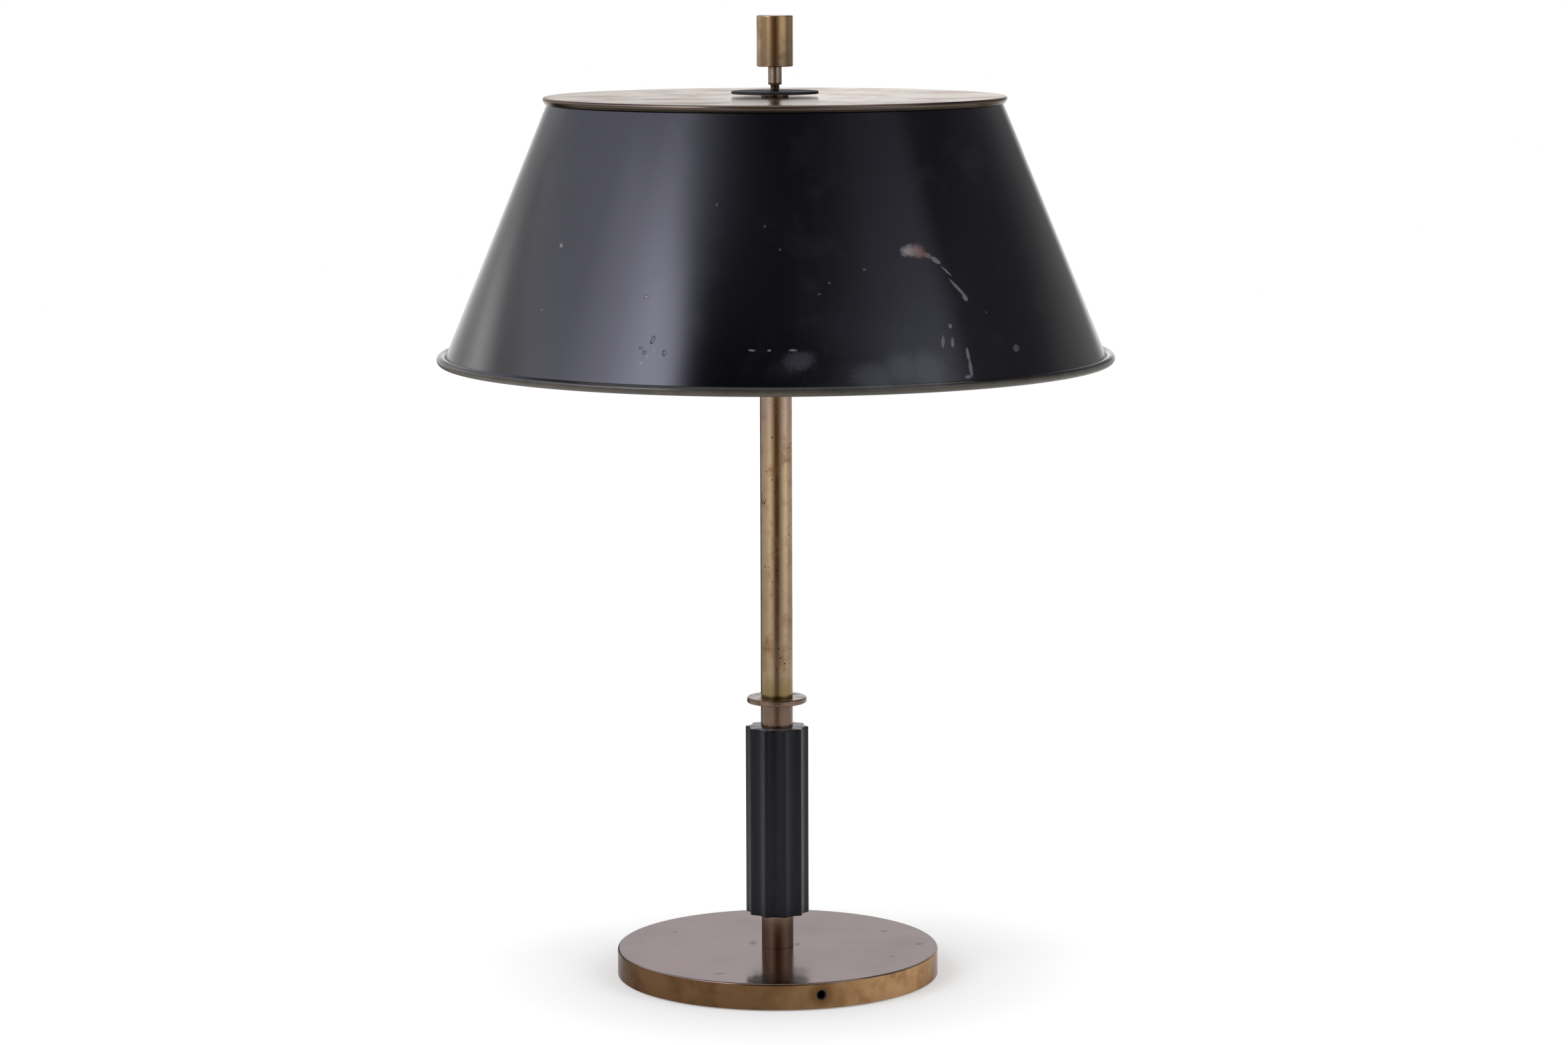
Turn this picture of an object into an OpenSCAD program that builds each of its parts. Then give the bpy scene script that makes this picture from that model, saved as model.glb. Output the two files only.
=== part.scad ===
// Brass table lamp with a black fluted grip and a lacquered metal shade.
// Millimetres, +Z up. The origin is the middle of the base, on the table.
// The lamp is a stack threaded on one central tube: base, foot, grip, neck, collar and stem.
// On top of the tube a box carries two lampholders and the rod that the shade rests on.

/* [Base] */
// Diameter of the base
base_d = 169; // [150:0.5:200]
// Height of the base's top face above the table
base_h = 14.2; // [14:0.1:24]
// Thickness of the spun brass shell
shell_wall = 1.2; // [0.8:0.1:1.5]
// Rounding of the shell's upper edge
base_edge_r = 1.2; // [0.4:0.1:2]
// Height of the shell's lower edge above the table
shell_lift = 0.5; // [0.2:0.1:1]
// Thickness of the felt
felt_t = 1.5; // [1:0.1:2]
// Gap between the felt's edge and the shell
felt_gap = 0.8; // [0.3:0.1:2]
// Gap between the iron weight and the shell
weight_gap = 0.3; // [0.1:0.1:1]
// Iron left above the nut's recess
weight_web = 4.5; // [3:0.1:5]
// Diameter of the nut's recess
recess_d = 34; // [28:0.5:50]
// Width of the cord's channel in the weight
channel_w = 10; // [9:0.5:14]

/* [Cord inlet] */
// Direction of the inlet, measured round from the front towards the right
inlet_az = 15.4; // [0:0.1:90]
// Height of the inlet's middle above the table
inlet_h = 7.7; // [7:0.1:8]
// Outside of the insulating bush where it passes the shell
bush_d = 5.6; // [5:0.1:6.4]
// Bore of the bush
bush_bore = 4.2; // [3:0.1:4.4]
// Collar of the bush inside the shell
bush_collar_d = 7.6; // [7.2:0.1:8]
// Thickness of that collar
bush_collar_t = 1.5; // [1:0.1:3]

/* [Central tube] */
// Outside of the threaded central tube
tube_d = 10; // [8:0.5:11]
// Bore of the central tube
tube_bore = 7.6; // [5:0.1:7.8]
// Radial gap of the pieces that slip over the tube
slip_gap = 0.15; // [0.05:0.05:0.4]
// Width across flats of the nuts on the tube
tube_nut_af = 14; // [13:0.5:15]
// Height of the nuts on the tube
tube_nut_h = 3; // [2:0.1:3.5]
// Tube that stands out past each nut
tube_tail = 1; // [0.5:0.1:1.5]
// Diameter of the lock washer
washer_d = 20; // [17:0.5:26]
// Thickness of the lock washer
washer_t = 1; // [0.6:0.1:1.2]

/* [Stem] */
// Outside of the brass foot, neck and stem
stem_d = 16.8; // [14:0.1:20]
// Bore of the long stem tube
stem_bore = 13.6; // [12:0.1:13.8]
// Height of the foot below the grip
foot_h = 18.3; // [8:0.1:40]
// Height of the neck between grip and collar
neck_h = 12.8; // [5:0.1:40]
// Diameter of the collar
collar_d = 31.2; // [22:0.1:40]
// Thickness of the collar
collar_h = 3; // [2:0.1:6]
// Rounding of the collar's edges
collar_edge_r = 0.7; // [0.3:0.1:0.9]
// Length of the stem tube
stem_h = 192.2; // [120:0.1:300]
// Height of the spigots that centre the stem tube
spigot_h = 4; // [2:0.5:8]
// Radial gap between a spigot and the stem tube
spigot_gap = 0.1; // [0.05:0.05:0.3]

/* [Grip] */
// Diameter over the grip's lands
grip_d = 32; // [26:0.1:40]
// Length of the grip
grip_h = 99.5; // [60:0.1:150]
// Number of flutes
flute_count = 10; // [6:1:16]
// Depth of a flute's floor below the straight line between its edges
flute_sag = 0.25; // [0.1:0.05:0.8]
// Width of the land left between two flutes
flute_land = 2.4; // [0.5:0.1:4]
// Turn of the first flute's middle from the front
flute_turn = -4; // [-18:1:18]
// Chamfer at both ends of the grip
grip_chamfer = 0.4; // [0.2:0.1:1]

/* [Head box] */
// Diameter of the box that carries the lampholders
box_d = 44; // [42:0.5:60]
// Height of the box
box_h = 26; // [25:0.5:40]
// Wall of the box
box_wall = 1.5; // [1:0.1:2]
// Floor of the box
box_floor = 2; // [1.5:0.1:3]
// Thickness of the lid's plate
lid_t = 2.5; // [2:0.1:5]
// Depth of the rim under the lid
lid_rim_h = 3; // [2.6:0.1:4]
// Wall of that rim
lid_rim_wall = 1.5; // [1:0.1:2]
// Radial gap between the rim and the box
lid_gap = 0.1; // [0.05:0.05:0.2]
// Diameter of the lid's screws
lid_screw_d = 2; // [1.6:0.1:2.2]
// Diameter of their heads
lid_screw_head_d = 4; // [3.5:0.1:4.5]
// Thickness of their heads
lid_screw_head_t = 1.4; // [1:0.1:2]
// Side of the junction block along the box's floor
block_w = 12; // [10:0.5:13]
// Depth of the junction block
block_d = 9; // [8:0.5:9.5]
// Height of the junction block
block_h = 10; // [8:0.5:11]

/* [Lampholders] */
// Tilt of a lampholder above the horizontal
holder_tilt = 20; // [12:1:24]
// Height of the crossing of the lampholders' axes above the box's underside
holder_rise = 10; // [9.5:0.1:11]
// Distance from the lamp's axis to a holder's seat, along the holder
holder_reach = 30; // [28:0.5:40]
// Diameter of the box's stubs
stub_d = 14; // [13:0.5:14]
// Outside of a lampholder
holder_d = 38; // [37:0.5:44]
// Wall of its brass cap and barrel
holder_wall = 1; // [0.6:0.1:1.2]
// Length of the domed cap
cap_l = 14; // [12:0.5:20]
// Length of the barrel
barrel_l = 38; // [36:0.5:44]
// Height of the bead rolled round the barrel
bead_h = 2; // [1:0.1:3]
// How far that bead stands out
bead_out = 0.7; // [0.3:0.1:1.5]
// Radial gap between the porcelain and the brass
porcelain_gap = 0.4; // [0.2:0.1:0.6]
// Gap from the porcelain's back to the end of the nipple
porcelain_back = 6; // [5:0.5:7]
// Thread bore of the screw shell, to receive the bulb's cap
socket_bore = 27; // [26.8:0.1:27.4]
// Sheet of the screw shell
socket_wall = 0.5; // [0.3:0.1:0.8]
// Depth of the screw shell behind the barrel's mouth
socket_depth = 22; // [20:0.5:24]
// Thickness of the barrel's front lip
mouth_t = 1.5; // [1:0.1:2.5]
// Length of the nipple that joins a holder to the box
nipple_l = 14; // [12:0.5:16]
// Thickness of an insulated lead
lead_d = 1.9; // [1.4:0.1:2.2]
// Spacing of the two leads of a holder
lead_pitch = 2.8; // [2.6:0.1:3.2]

/* [Switch keys] */
// Distance of the key's axis behind the barrel's mouth
key_back = 31; // [30:0.5:32]
// Diameter of the key's spindle
key_spindle_d = 5; // [4:0.1:6]
// Radial running gap of the spindle
key_gap = 0.08; // [0.03:0.01:0.1]
// Diameter of the key's hub
key_hub_d = 9; // [8:0.5:12]
// Height of the hub outside the barrel
key_hub_h = 3; // [2:0.5:5]
// Gap between the hub and the barrel
key_hub_gap = 0.4; // [0.3:0.1:1]
// Width of the key's wing
wing_w = 17; // [12:0.5:22]
// Height of the wing beyond the hub
wing_h = 11; // [8:0.5:16]
// Thickness of the wing
wing_t = 4; // [3:0.5:6]
// Diameter of the switch's rotor
rotor_d = 11; // [9:0.5:12]
// Thickness of the rotor
rotor_t = 5; // [4:0.5:6]

/* [Bulbs] */
// Diameter of the glass
bulb_d = 45; // [40:1:48]
// Length from the contact to the top of the glass
bulb_l = 73; // [68:1:80]
// Diameter of the screw cap
bulb_cap_d = 26.4; // [26:0.1:26.6]
// Length of the screw cap with its contact
bulb_cap_l = 27; // [26:0.5:29]
// Wall of the glass
bulb_wall = 0.8; // [0.5:0.1:1.2]

/* [Shade] */
// Height of the shade's seat above the lid of the box
shade_rise = 91.8; // [80:0.1:140]
// Diameter of the cone at its top
cone_top_d = 232.6; // [200:0.1:260]
// Diameter of the cone at the height of the rolled edge
cone_bottom_d = 342.6; // [310:0.1:400]
// Height of the cone from the rolled edge's middle to its top
cone_h = 133.4; // [115:0.1:150]
// Thickness of the sheet
sheet_t = 0.8; // [0.6:0.1:1]
// Width of the flange that carries the top plate
flange_w = 6; // [4:0.5:12]
// Outside of the rolled edge
roll_d = 4.8; // [4:0.1:8]
// Gap between the rolled edge and its wire
wire_gap = 0.1; // [0.05:0.05:0.3]
// How far the top plate stands out past the cone's top
plate_lap = 3.2; // [3:0.1:8]
// Thickness of the top plate
plate_t = 1; // [0.8:0.1:1.4]
// Height of the plate's turned-down hem
hem_h = 3.4; // [2.8:0.1:4]
// Rounding of the plate's upper edge
hem_edge_r = 1.2; // [0.6:0.1:1.4]
// Width of the hem's lower edge
hem_foot = 0.9; // [0.5:0.1:1.2]
// Radial gap between the hem and the cone
hem_gap = 0.1; // [0.05:0.05:0.3]

/* [Shade rod] */
// Diameter of the rod under the shade
rod_d = 8; // [7:0.1:9]
// Diameter of the rod's threaded end
rod_end_d = 5; // [4:0.1:5.4]
// Radial running gap of the pieces round the threaded end
run_gap = 0.08; // [0.03:0.01:0.1]
// Width across flats of the rod's nuts
rod_nut_af = 13; // [12:0.5:14]
// Height of the rod's nuts
rod_nut_h = 3.6; // [3:0.1:4]
// Diameter of the washer under the plate
seat_d = 34; // [20:0.5:50]
// Thickness of the washer under the plate
seat_t = 1.2; // [0.8:0.1:3]
// Diameter of the hub on top of the plate
hub_d = 14; // [9:0.5:20]
// Thickness of the hub
hub_t = 1.2; // [0.8:0.1:3]
// Diameter of the black disc
disc_d = 45; // [30:0.5:70]
// Thickness of the disc
disc_t = 1.5; // [1:0.1:3]

/* [Finial] */
// Rod that shows between the disc and the finial
rod_show = 3.2; // [3.2:0.1:6]
// Thickness of the fibre ring under the finial
ring_t = 0.8; // [0.5:0.1:1.5]
// Diameter of the finial's neck
neck_d = 7.1; // [6.4:0.1:10]
// Length of the neck
neck_l = 8.5; // [5:0.1:14]
// Diameter of the knob
knob_d = 18.7; // [14:0.1:26]
// Height of the knob
knob_h = 26.1; // [18:0.1:36]
// Chamfer at the knob's edges
knob_chamfer = 0.5; // [0.2:0.1:1]
// Length of rod inside the finial
rod_grip = 10; // [9:0.5:12]
// Depth of the finial's bore
finial_bore_l = 15; // [15:0.5:20]

/* [Hidden] */
$fn = 96;
over = 0.5;                                   // how far a cutter runs past the face that it cuts

// Levels of the stack, from the table up
shell_roof = base_h - shell_wall;
recess_top = shell_roof - weight_web;
tube_nut_low = recess_top - washer_t - tube_nut_h;
grip_z = base_h + foot_h;
neck_z = grip_z + grip_h;
collar_z = neck_z + neck_h;
stem_z = collar_z + collar_h;
box_z = stem_z + stem_h;
lid_z = box_z + box_h;
rod_foot_z = lid_z - rod_nut_h - tube_tail;
seat_z = lid_z + lid_t + shade_rise;          // underside of the top plate
plate_top = seat_z + plate_t;
plate_d = cone_top_d + 2 * plate_lap;
disc_z = plate_top + hub_t;
ring_z = disc_z + disc_t + rod_show;
finial_z = ring_z + ring_t;
knob_z = finial_z + neck_l;

slip_d = tube_d + 2 * slip_gap;
run_d = rod_end_d + 2 * run_gap;
tube_end_z = box_z + box_floor + tube_nut_h + tube_tail;

// The channel is as high as the bush's collar needs
channel_gap = 0.2;
channel_top = inlet_h + bush_collar_d / 2 + channel_gap;
bush_shy = 0.1;                               // how far the bush ends inside the shell's outside

// One flute is a round cutter that leaves the lands between neighbours
flute_half = 180 / flute_count - asin(flute_land / grip_d);
flute_chord = grip_d / 2 * sin(flute_half);
flute_floor = grip_d / 2 * cos(flute_half) - flute_sag;
flute_r = (flute_chord * flute_chord + flute_sag * flute_sag) / (2 * flute_sag);

screw_gap = 0.1;                              // round the lid's screws in the box's wall

// Distances along a lampholder, counted from the crossing of the two axes
cross_z = box_z + holder_rise;
cap_s = holder_reach;
barrel_s = cap_s + cap_l;
mouth_s = barrel_s + barrel_l;
key_s = mouth_s - key_back;
nipple_in = 5;                                // nipple inside the holder
nipple_nut_h = 3;
nipple_s = cap_s + nipple_in - nipple_l;
porcelain_s = cap_s + nipple_in + porcelain_back;
socket_s = mouth_s - mouth_t - socket_depth;
contact_h = 3.5;
glass_in = 2;                                 // glass inside the bulb's cap
bulb_s = socket_s + contact_h;
glass_s = bulb_s + bulb_cap_l - glass_in;
ball_s = bulb_s + bulb_l - bulb_d / 2;
porcelain_r = holder_d / 2 - holder_wall - porcelain_gap;
rotor_x = 4;                                  // inner face of the rotor, off the holder's axis
rotor_gap = 0.5;                              // room round the rotor in the porcelain
rotor_shaft_d = key_spindle_d - 1.5;          // thinner end of the spindle, inside the rotor

// The cone's wall leans out by this angle from the vertical
lean = atan((cone_bottom_d - cone_top_d) / 2 / cone_h);
sheet_level = sheet_t / cos(lean);
shade_z = seat_z - cone_h;                    // middle of the rolled edge
roll_r = roll_d / 2;
roll_in = roll_r - sheet_t;
roll_mid = cone_bottom_d / 2 + roll_in / cos(lean);
roll_slit = 0.15;                             // between the curled sheet's end and the cone
roll_start = 180 + lean;
roll_stop = roll_start + 360 - acos((roll_in - roll_slit) / roll_r);
function cone_r(z) = cone_top_d / 2 + (seat_z - z) * tan(lean);

function arc(cx, cy, r, a0, a1, n) =
    [for (i = [0:n]) let (a = a0 + (a1 - a0) * i / n) [cx + r * cos(a), cy + r * sin(a)]];

// A plain ring or tube from height z to z + h
module ring(d, bore, z, h) {
    translate([0, 0, z])
        rotate_extrude()
            translate([bore / 2, 0])
                square([(d - bore) / 2, h]);
}

// A hexagonal nut with a round bore
module nut(af, bore, z, h) {
    translate([0, 0, z])
        difference() {
            cylinder(d = af / cos(30), h = h, $fn = 6);
            translate([0, 0, -over])
                cylinder(d = bore, h = h + 2 * over);
        }
}

// ---- Base ----

// Brings a piece drawn along +X to the cord inlet's direction and height
module at_inlet() {
    rotate([0, 0, inlet_az - 90])
        translate([0, 0, inlet_h])
            rotate([0, 90, 0])
                children();
}

module felt_pad() {
    color("darkolivegreen")
        ring(base_d - 2 * (shell_wall + felt_gap), recess_d, 0, felt_t);
}

module base_weight() {
    color("dimgray")
        difference() {
            ring(base_d - 2 * (shell_wall + weight_gap), slip_d, felt_t, shell_roof - felt_t);
            translate([0, 0, felt_t - over])
                cylinder(d = recess_d, h = recess_top - felt_t + over);
            rotate([0, 0, inlet_az - 90])
                translate([0, -channel_w / 2, felt_t - over])
                    cube([base_d / 2, channel_w, channel_top - felt_t + over]);
        }
}

module base_shell() {
    r = base_d / 2;
    color("peru")
        difference() {
            rotate_extrude()
                polygon(concat(
                    [[slip_d / 2, base_h]],
                    arc(r - base_edge_r, base_h - base_edge_r, base_edge_r, 90, 0, 8),
                    [[r, shell_lift], [r - shell_wall, shell_lift], [r - shell_wall, shell_roof],
                     [slip_d / 2, shell_roof]]));
            at_inlet()
                translate([0, 0, r - 2 * shell_wall])
                    cylinder(d = bush_d, h = 3 * shell_wall);
        }
}

module cord_bush() {
    r = base_d / 2;
    back = sqrt(pow(r - shell_wall, 2) - pow(bush_collar_d / 2, 2)) - bush_collar_t;
    color("black")
        at_inlet() {
            ring(bush_collar_d, bush_bore, back, bush_collar_t);
            ring(bush_d, bush_bore, back, r - bush_shy - back);
        }
}

module lock_washer() {
    color("silver")
        ring(washer_d, slip_d, recess_top - washer_t, washer_t);
}

// One nut under the base and one on the floor of the head box
module tube_nuts() {
    color("goldenrod") {
        nut(tube_nut_af, tube_d, tube_nut_low, tube_nut_h);
        nut(tube_nut_af, tube_d, box_z + box_floor, tube_nut_h);
    }
}

// ---- Stem ----

module central_tube() {
    low = tube_nut_low - tube_tail;
    color("silver")
        ring(tube_d, tube_bore, low, tube_end_z - low);
}

module foot() {
    color("darkgoldenrod")
        ring(stem_d, slip_d, base_h, foot_h);
}

module grip() {
    color([0.13, 0.13, 0.15])
        difference() {
            translate([0, 0, grip_z])
                rotate_extrude()
                    polygon([[slip_d / 2, 0], [grip_d / 2 - grip_chamfer, 0], [grip_d / 2, grip_chamfer],
                             [grip_d / 2, grip_h - grip_chamfer], [grip_d / 2 - grip_chamfer, grip_h],
                             [slip_d / 2, grip_h]]);
            for (i = [0:flute_count - 1])
                rotate([0, 0, flute_turn - 90 + i * 360 / flute_count])
                    translate([flute_floor + flute_r, 0, grip_z - over])
                        cylinder(r = flute_r, h = grip_h + 2 * over);
        }
}

module neck() {
    color("darkgoldenrod")
        ring(stem_d, slip_d, neck_z, neck_h);
}

module collar() {
    r = collar_d / 2 - collar_edge_r;
    color("peru")
        rotate_extrude() {
            polygon(concat(
                [[slip_d / 2, collar_z]],
                arc(r, collar_z + collar_edge_r, collar_edge_r, -90, 0, 8),
                arc(r, stem_z - collar_edge_r, collar_edge_r, 0, 90, 8),
                [[slip_d / 2, stem_z]]));
            translate([slip_d / 2, stem_z - over])
                square([stem_bore / 2 - spigot_gap - slip_d / 2, spigot_h + over]);
        }
}

module stem_tube() {
    color("darkgoldenrod")
        ring(stem_d, stem_bore, stem_z, stem_h);
}

// ---- Head box ----

// Brings a piece drawn along +Z to a lampholder's axis; its +X then points down and outwards
module at_holder(turn) {
    rotate([0, 0, turn])
        translate([0, 0, cross_z])
            rotate([0, 90 - holder_tilt, 0])
                children();
}

module head_box() {
    inner_r = box_d / 2 - box_wall;
    screw_z = lid_z - lid_rim_h / 2;
    color("goldenrod")
        difference() {
            union() {
                translate([0, 0, box_z])
                    cylinder(d = box_d, h = box_h);
                for (turn = [0, 180])
                    at_holder(turn)
                        cylinder(d = stub_d, h = holder_reach);
                ring(stem_bore - 2 * spigot_gap, slip_d, box_z - spigot_h, spigot_h + over);
            }
            translate([0, 0, box_z + box_floor])
                cylinder(r = inner_r, h = box_h);
            translate([0, 0, box_z - spigot_h - over])
                cylinder(d = slip_d, h = spigot_h + box_floor + 2 * over);
            for (turn = [0, 180])
                at_holder(turn)
                    cylinder(d = tube_d, h = holder_reach + over);
            for (turn = [90, -90])
                rotate([0, 0, turn])
                    translate([0, 0, screw_z])
                        rotate([0, 90, 0])
                            cylinder(d = lid_screw_d + 2 * screw_gap, h = box_d);
        }
}

module head_lid() {
    rim_r = box_d / 2 - box_wall - lid_gap;
    color("goldenrod")
        difference() {
            union() {
                ring(box_d, rod_d, lid_z, lid_t);
                ring(2 * rim_r, 2 * (rim_r - lid_rim_wall), lid_z - lid_rim_h, lid_rim_h + over);
            }
            for (turn = [90, -90])
                rotate([0, 0, turn])
                    translate([0, 0, lid_z - lid_rim_h / 2])
                        rotate([0, 90, 0])
                            cylinder(d = lid_screw_d, h = box_d);
        }
}

// Two screws through the box's wall into the lid's rim
module lid_screws() {
    rim_in = box_d / 2 - box_wall - lid_gap - lid_rim_wall;
    color("goldenrod")
        for (turn = [90, -90])
            rotate([0, 0, turn])
                translate([0, 0, lid_z - lid_rim_h / 2])
                    rotate([0, 90, 0]) {
                        translate([0, 0, rim_in])
                            cylinder(d = lid_screw_d, h = box_d / 2 - rim_in + over);
                        translate([0, 0, box_d / 2])
                            cylinder(d = lid_screw_head_d, h = lid_screw_head_t);
                    }
}

// Porcelain block on the box's floor where the leads of both holders meet
block_gap = 0.7;                              // between the block and the tube's nut
block_y = tube_nut_af / 2 / cos(30) + block_gap;
block_z = box_z + box_floor;
module junction_block() {
    color("ivory")
        translate([-block_w / 2, block_y, block_z])
            cube([block_w, block_d, block_h]);
}

// Threaded nipples from the box's stubs into the lampholders
module nipples() {
    color("silver")
        for (turn = [0, 180])
            at_holder(turn)
                ring(tube_d, tube_bore, nipple_s, nipple_l);
}

module nipple_nuts() {
    color("goldenrod")
        for (turn = [0, 180])
            at_holder(turn)
                nut(tube_nut_af, tube_d, cap_s + holder_wall, nipple_nut_h);
}

// A lead runs level out of the block, curves over the nut and goes straight up the nipple.
// The two leads of a holder lie one above the other, k being 0.5 for the upper one
along = [cos(holder_tilt), 0, sin(holder_tilt)];
across = [-sin(holder_tilt), 0, cos(holder_tilt)];
lead_entry_s = 18;                            // where the curve meets the nipple's axis
lead_exit_h = 0.6 * block_h;                  // where the leads leave the block
lead_out = 5;                                 // how far a lead goes straight on from the block
lead_in = 7;                                  // and how far it is straight before the nipple
lead_steps = 12;
function unit(v) = v / norm(v);
function lead_axis(k) = [0, 0, cross_z] + k * lead_pitch * across;
function lead_point(k, t) =
    let (a = [block_w / 2, block_y + block_d / 2, block_z + lead_exit_h + k * lead_pitch],
         d = lead_axis(k) + lead_entry_s * along,
         b = a + [lead_out, 0, 0],
         c = d - lead_in * along,
         u = 1 - t)
    u * u * u * a + 3 * u * u * t * b + 3 * u * t * t * c + t * t * t * d;
function lead_path(k) = concat(
    [for (i = [0:lead_steps]) lead_point(k, i / lead_steps)],
    [lead_axis(k) + porcelain_s * along]);
function tangent(p, i) =
    i == 0 ? [1, 0, 0] : i == len(p) - 1 ? along : unit(p[i + 1] - p[i - 1]);
module sweep(path, r, sides) {
    rings = [for (i = [0:len(path) - 1])
        let (t = tangent(path, i), u = unit(cross(t, [0, 0, 1])), v = cross(t, u))
        [for (k = [0:sides - 1]) path[i] + r * (cos(k * 360 / sides) * u + sin(k * 360 / sides) * v)]];
    n = len(path);
    polyhedron(
        points = [for (ring = rings) each ring],
        faces = concat(
            [[for (k = [0:sides - 1]) k]],
            [for (i = [0:n - 2], k = [0:sides - 1])
                let (m = (k + 1) % sides)
                [i * sides + k, (i + 1) * sides + k, (i + 1) * sides + m, i * sides + m]],
            [[for (k = [sides - 1:-1:0]) (n - 1) * sides + k]]));
}

module lead_pair(side) {
    color("saddlebrown")
        mirror([side, 0, 0])
            for (k = [-0.5, 0.5])
                sweep(lead_path(k), lead_d / 2, 8);
}

// ---- Lampholders ----

cap_bend_r = 10;                              // outside radius of the cap's rounded back
module holder_cap() {
    r = holder_d / 2;
    mid_s = cap_s + cap_bend_r;
    mid_r = r - cap_bend_r;
    color("goldenrod")
        rotate_extrude()
            polygon(concat(
                [[tube_d / 2, cap_s]],
                arc(mid_r, mid_s, cap_bend_r, -90, 0, 10),
                [[r, barrel_s], [r - holder_wall, barrel_s]],
                arc(mid_r, mid_s, cap_bend_r - holder_wall, 0, -90, 10),
                [[tube_d / 2, cap_s + holder_wall]]));
}

// Brings a piece drawn along +Z to the switch spindle's axis
module at_key() {
    translate([0, 0, key_s])
        rotate([0, 90, 0])
            children();
}

module holder_barrel() {
    r = holder_d / 2;
    color("goldenrod")
        difference() {
            rotate_extrude() {
                translate([r - holder_wall, barrel_s])
                    square([holder_wall, barrel_l]);
                translate([r - holder_wall, barrel_s])
                    square([holder_wall + bead_out, bead_h]);
                translate([socket_bore / 2, mouth_s - mouth_t])
                    square([r - socket_bore / 2, mouth_t]);
            }
            at_key()
                cylinder(d = key_spindle_d + 2 * key_gap, h = holder_d);
        }
}

module porcelain() {
    color("white")
        difference() {
            translate([0, 0, porcelain_s])
                cylinder(r = porcelain_r, h = mouth_s - mouth_t - porcelain_s);
            translate([0, 0, socket_s])
                cylinder(r = socket_bore / 2 + socket_wall, h = holder_d);
            // Pocket for the rotor, open at the back so that it can be put in
            translate([rotor_x - rotor_gap, 0, key_s])
                rotate([0, 90, 0])
                    cylinder(d = rotor_d + 2 * rotor_gap, h = rotor_t + 2 * rotor_gap);
            translate([rotor_x - rotor_gap, -rotor_d / 2 - rotor_gap, porcelain_s - over])
                cube([rotor_t + 2 * rotor_gap, rotor_d + 2 * rotor_gap, key_s - porcelain_s + over]);
            at_key()
                cylinder(d = key_spindle_d + 2 * key_gap, h = holder_d);
        }
}

// Thread shell pressed from sheet, with a narrow floor
socket_floor_w = 4;
module screw_shell() {
    color("silver")
        rotate_extrude() {
            translate([socket_bore / 2, socket_s])
                square([socket_wall, socket_depth]);
            translate([socket_bore / 2 - socket_floor_w, socket_s])
                square([socket_floor_w + socket_wall, socket_wall]);
        }
}

// Middle contact: a foot on the porcelain, a post and the pad that the bulb presses
contact_foot = [10, 0.8];                     // diameter and thickness
contact_pad = [7, 0.6];
contact_post_d = 4;
module contact() {
    color("gold")
        translate([0, 0, socket_s]) {
            cylinder(d = contact_foot[0], h = contact_foot[1]);
            cylinder(d = contact_post_d, h = contact_h);
            translate([0, 0, contact_h - contact_pad[1]])
                cylinder(d = contact_pad[0], h = contact_pad[1]);
        }
}

wing_root_w = key_hub_d - 2;                  // wing where it stands on the hub
// Moulded key: spindle, hub and a rounded wing to turn with two fingers
module switch_key() {
    hub_x = holder_d / 2 + key_hub_gap;
    wing_x = hub_x + key_hub_h;
    color([0.16, 0.09, 0.06])
        at_key() {
            translate([0, 0, rotor_x + rotor_t])
                cylinder(d = key_spindle_d, h = hub_x - rotor_x - rotor_t + over);
            translate([0, 0, rotor_x])
                cylinder(d = rotor_shaft_d, h = rotor_t + over);
            translate([0, 0, hub_x])
                cylinder(d = key_hub_d, h = key_hub_h);
            translate([-wing_t / 2, 0, 0])
                rotate([0, 90, 0])
                    linear_extrude(wing_t) {
                        for (k = [-1, 1])
                            translate([-wing_x - wing_h / 2, k * (wing_w - wing_h) / 2])
                                circle(d = wing_h);
                        translate([-wing_x - wing_h, -(wing_w - wing_h) / 2])
                            square([wing_h, wing_w - wing_h]);
                        translate([-wing_x - wing_h / 2, -wing_root_w / 2])
                            square([wing_h / 2 + key_hub_h / 2, wing_root_w]);
                    }
        }
}

module switch_rotor() {
    color([0.16, 0.09, 0.06])
        at_key()
            ring(rotor_d, rotor_shaft_d, rotor_x, rotor_t);
}

// ---- Bulbs ----

// Screw cap: a tapered end with the contact's button, and a thin threaded wall
bulb_end_h = 5;
bulb_button_r = 5;
bulb_cap_wall = 0.5;
module bulb_cap() {
    r = bulb_cap_d / 2;
    body_s = bulb_s + bulb_end_h;
    floor_s = body_s + 2 * bulb_cap_wall;
    mouth = bulb_s + bulb_cap_l;
    color("silver")
        rotate_extrude()
            polygon([[0, bulb_s], [bulb_button_r - 0.5, bulb_s], [bulb_button_r, bulb_s + 1],
                     [r - 2, body_s - 1], [r, body_s], [r, mouth], [r - bulb_cap_wall, mouth],
                     [r - bulb_cap_wall, floor_s], [0, floor_s]]);
}

glass_gap = 0.1;                              // between the glass and its cap
module bulb_glass() {
    r = bulb_d / 2;
    neck_r = bulb_cap_d / 2 - bulb_cap_wall - glass_gap;
    start = asin(neck_r / r);
    inner = asin((neck_r - bulb_wall) / (r - bulb_wall));
    color([0.97, 0.96, 0.9])
        rotate_extrude()
            polygon(concat(
                [[neck_r - bulb_wall, glass_s], [neck_r, glass_s]],
                arc(0, ball_s, r, start - 90, 90, 24),
                arc(0, ball_s, r - bulb_wall, 90, inner - 90, 24)));
}

// ---- Shade rod ----

module shade_rod() {
    shoulder = seat_z - seat_t;
    color("darkgoldenrod") {
        translate([0, 0, rod_foot_z])
            cylinder(d = rod_d, h = shoulder - rod_foot_z);
        translate([0, 0, shoulder - over])
            cylinder(d = rod_end_d, h = finial_z + rod_grip - shoulder + over);
    }
}

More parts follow.
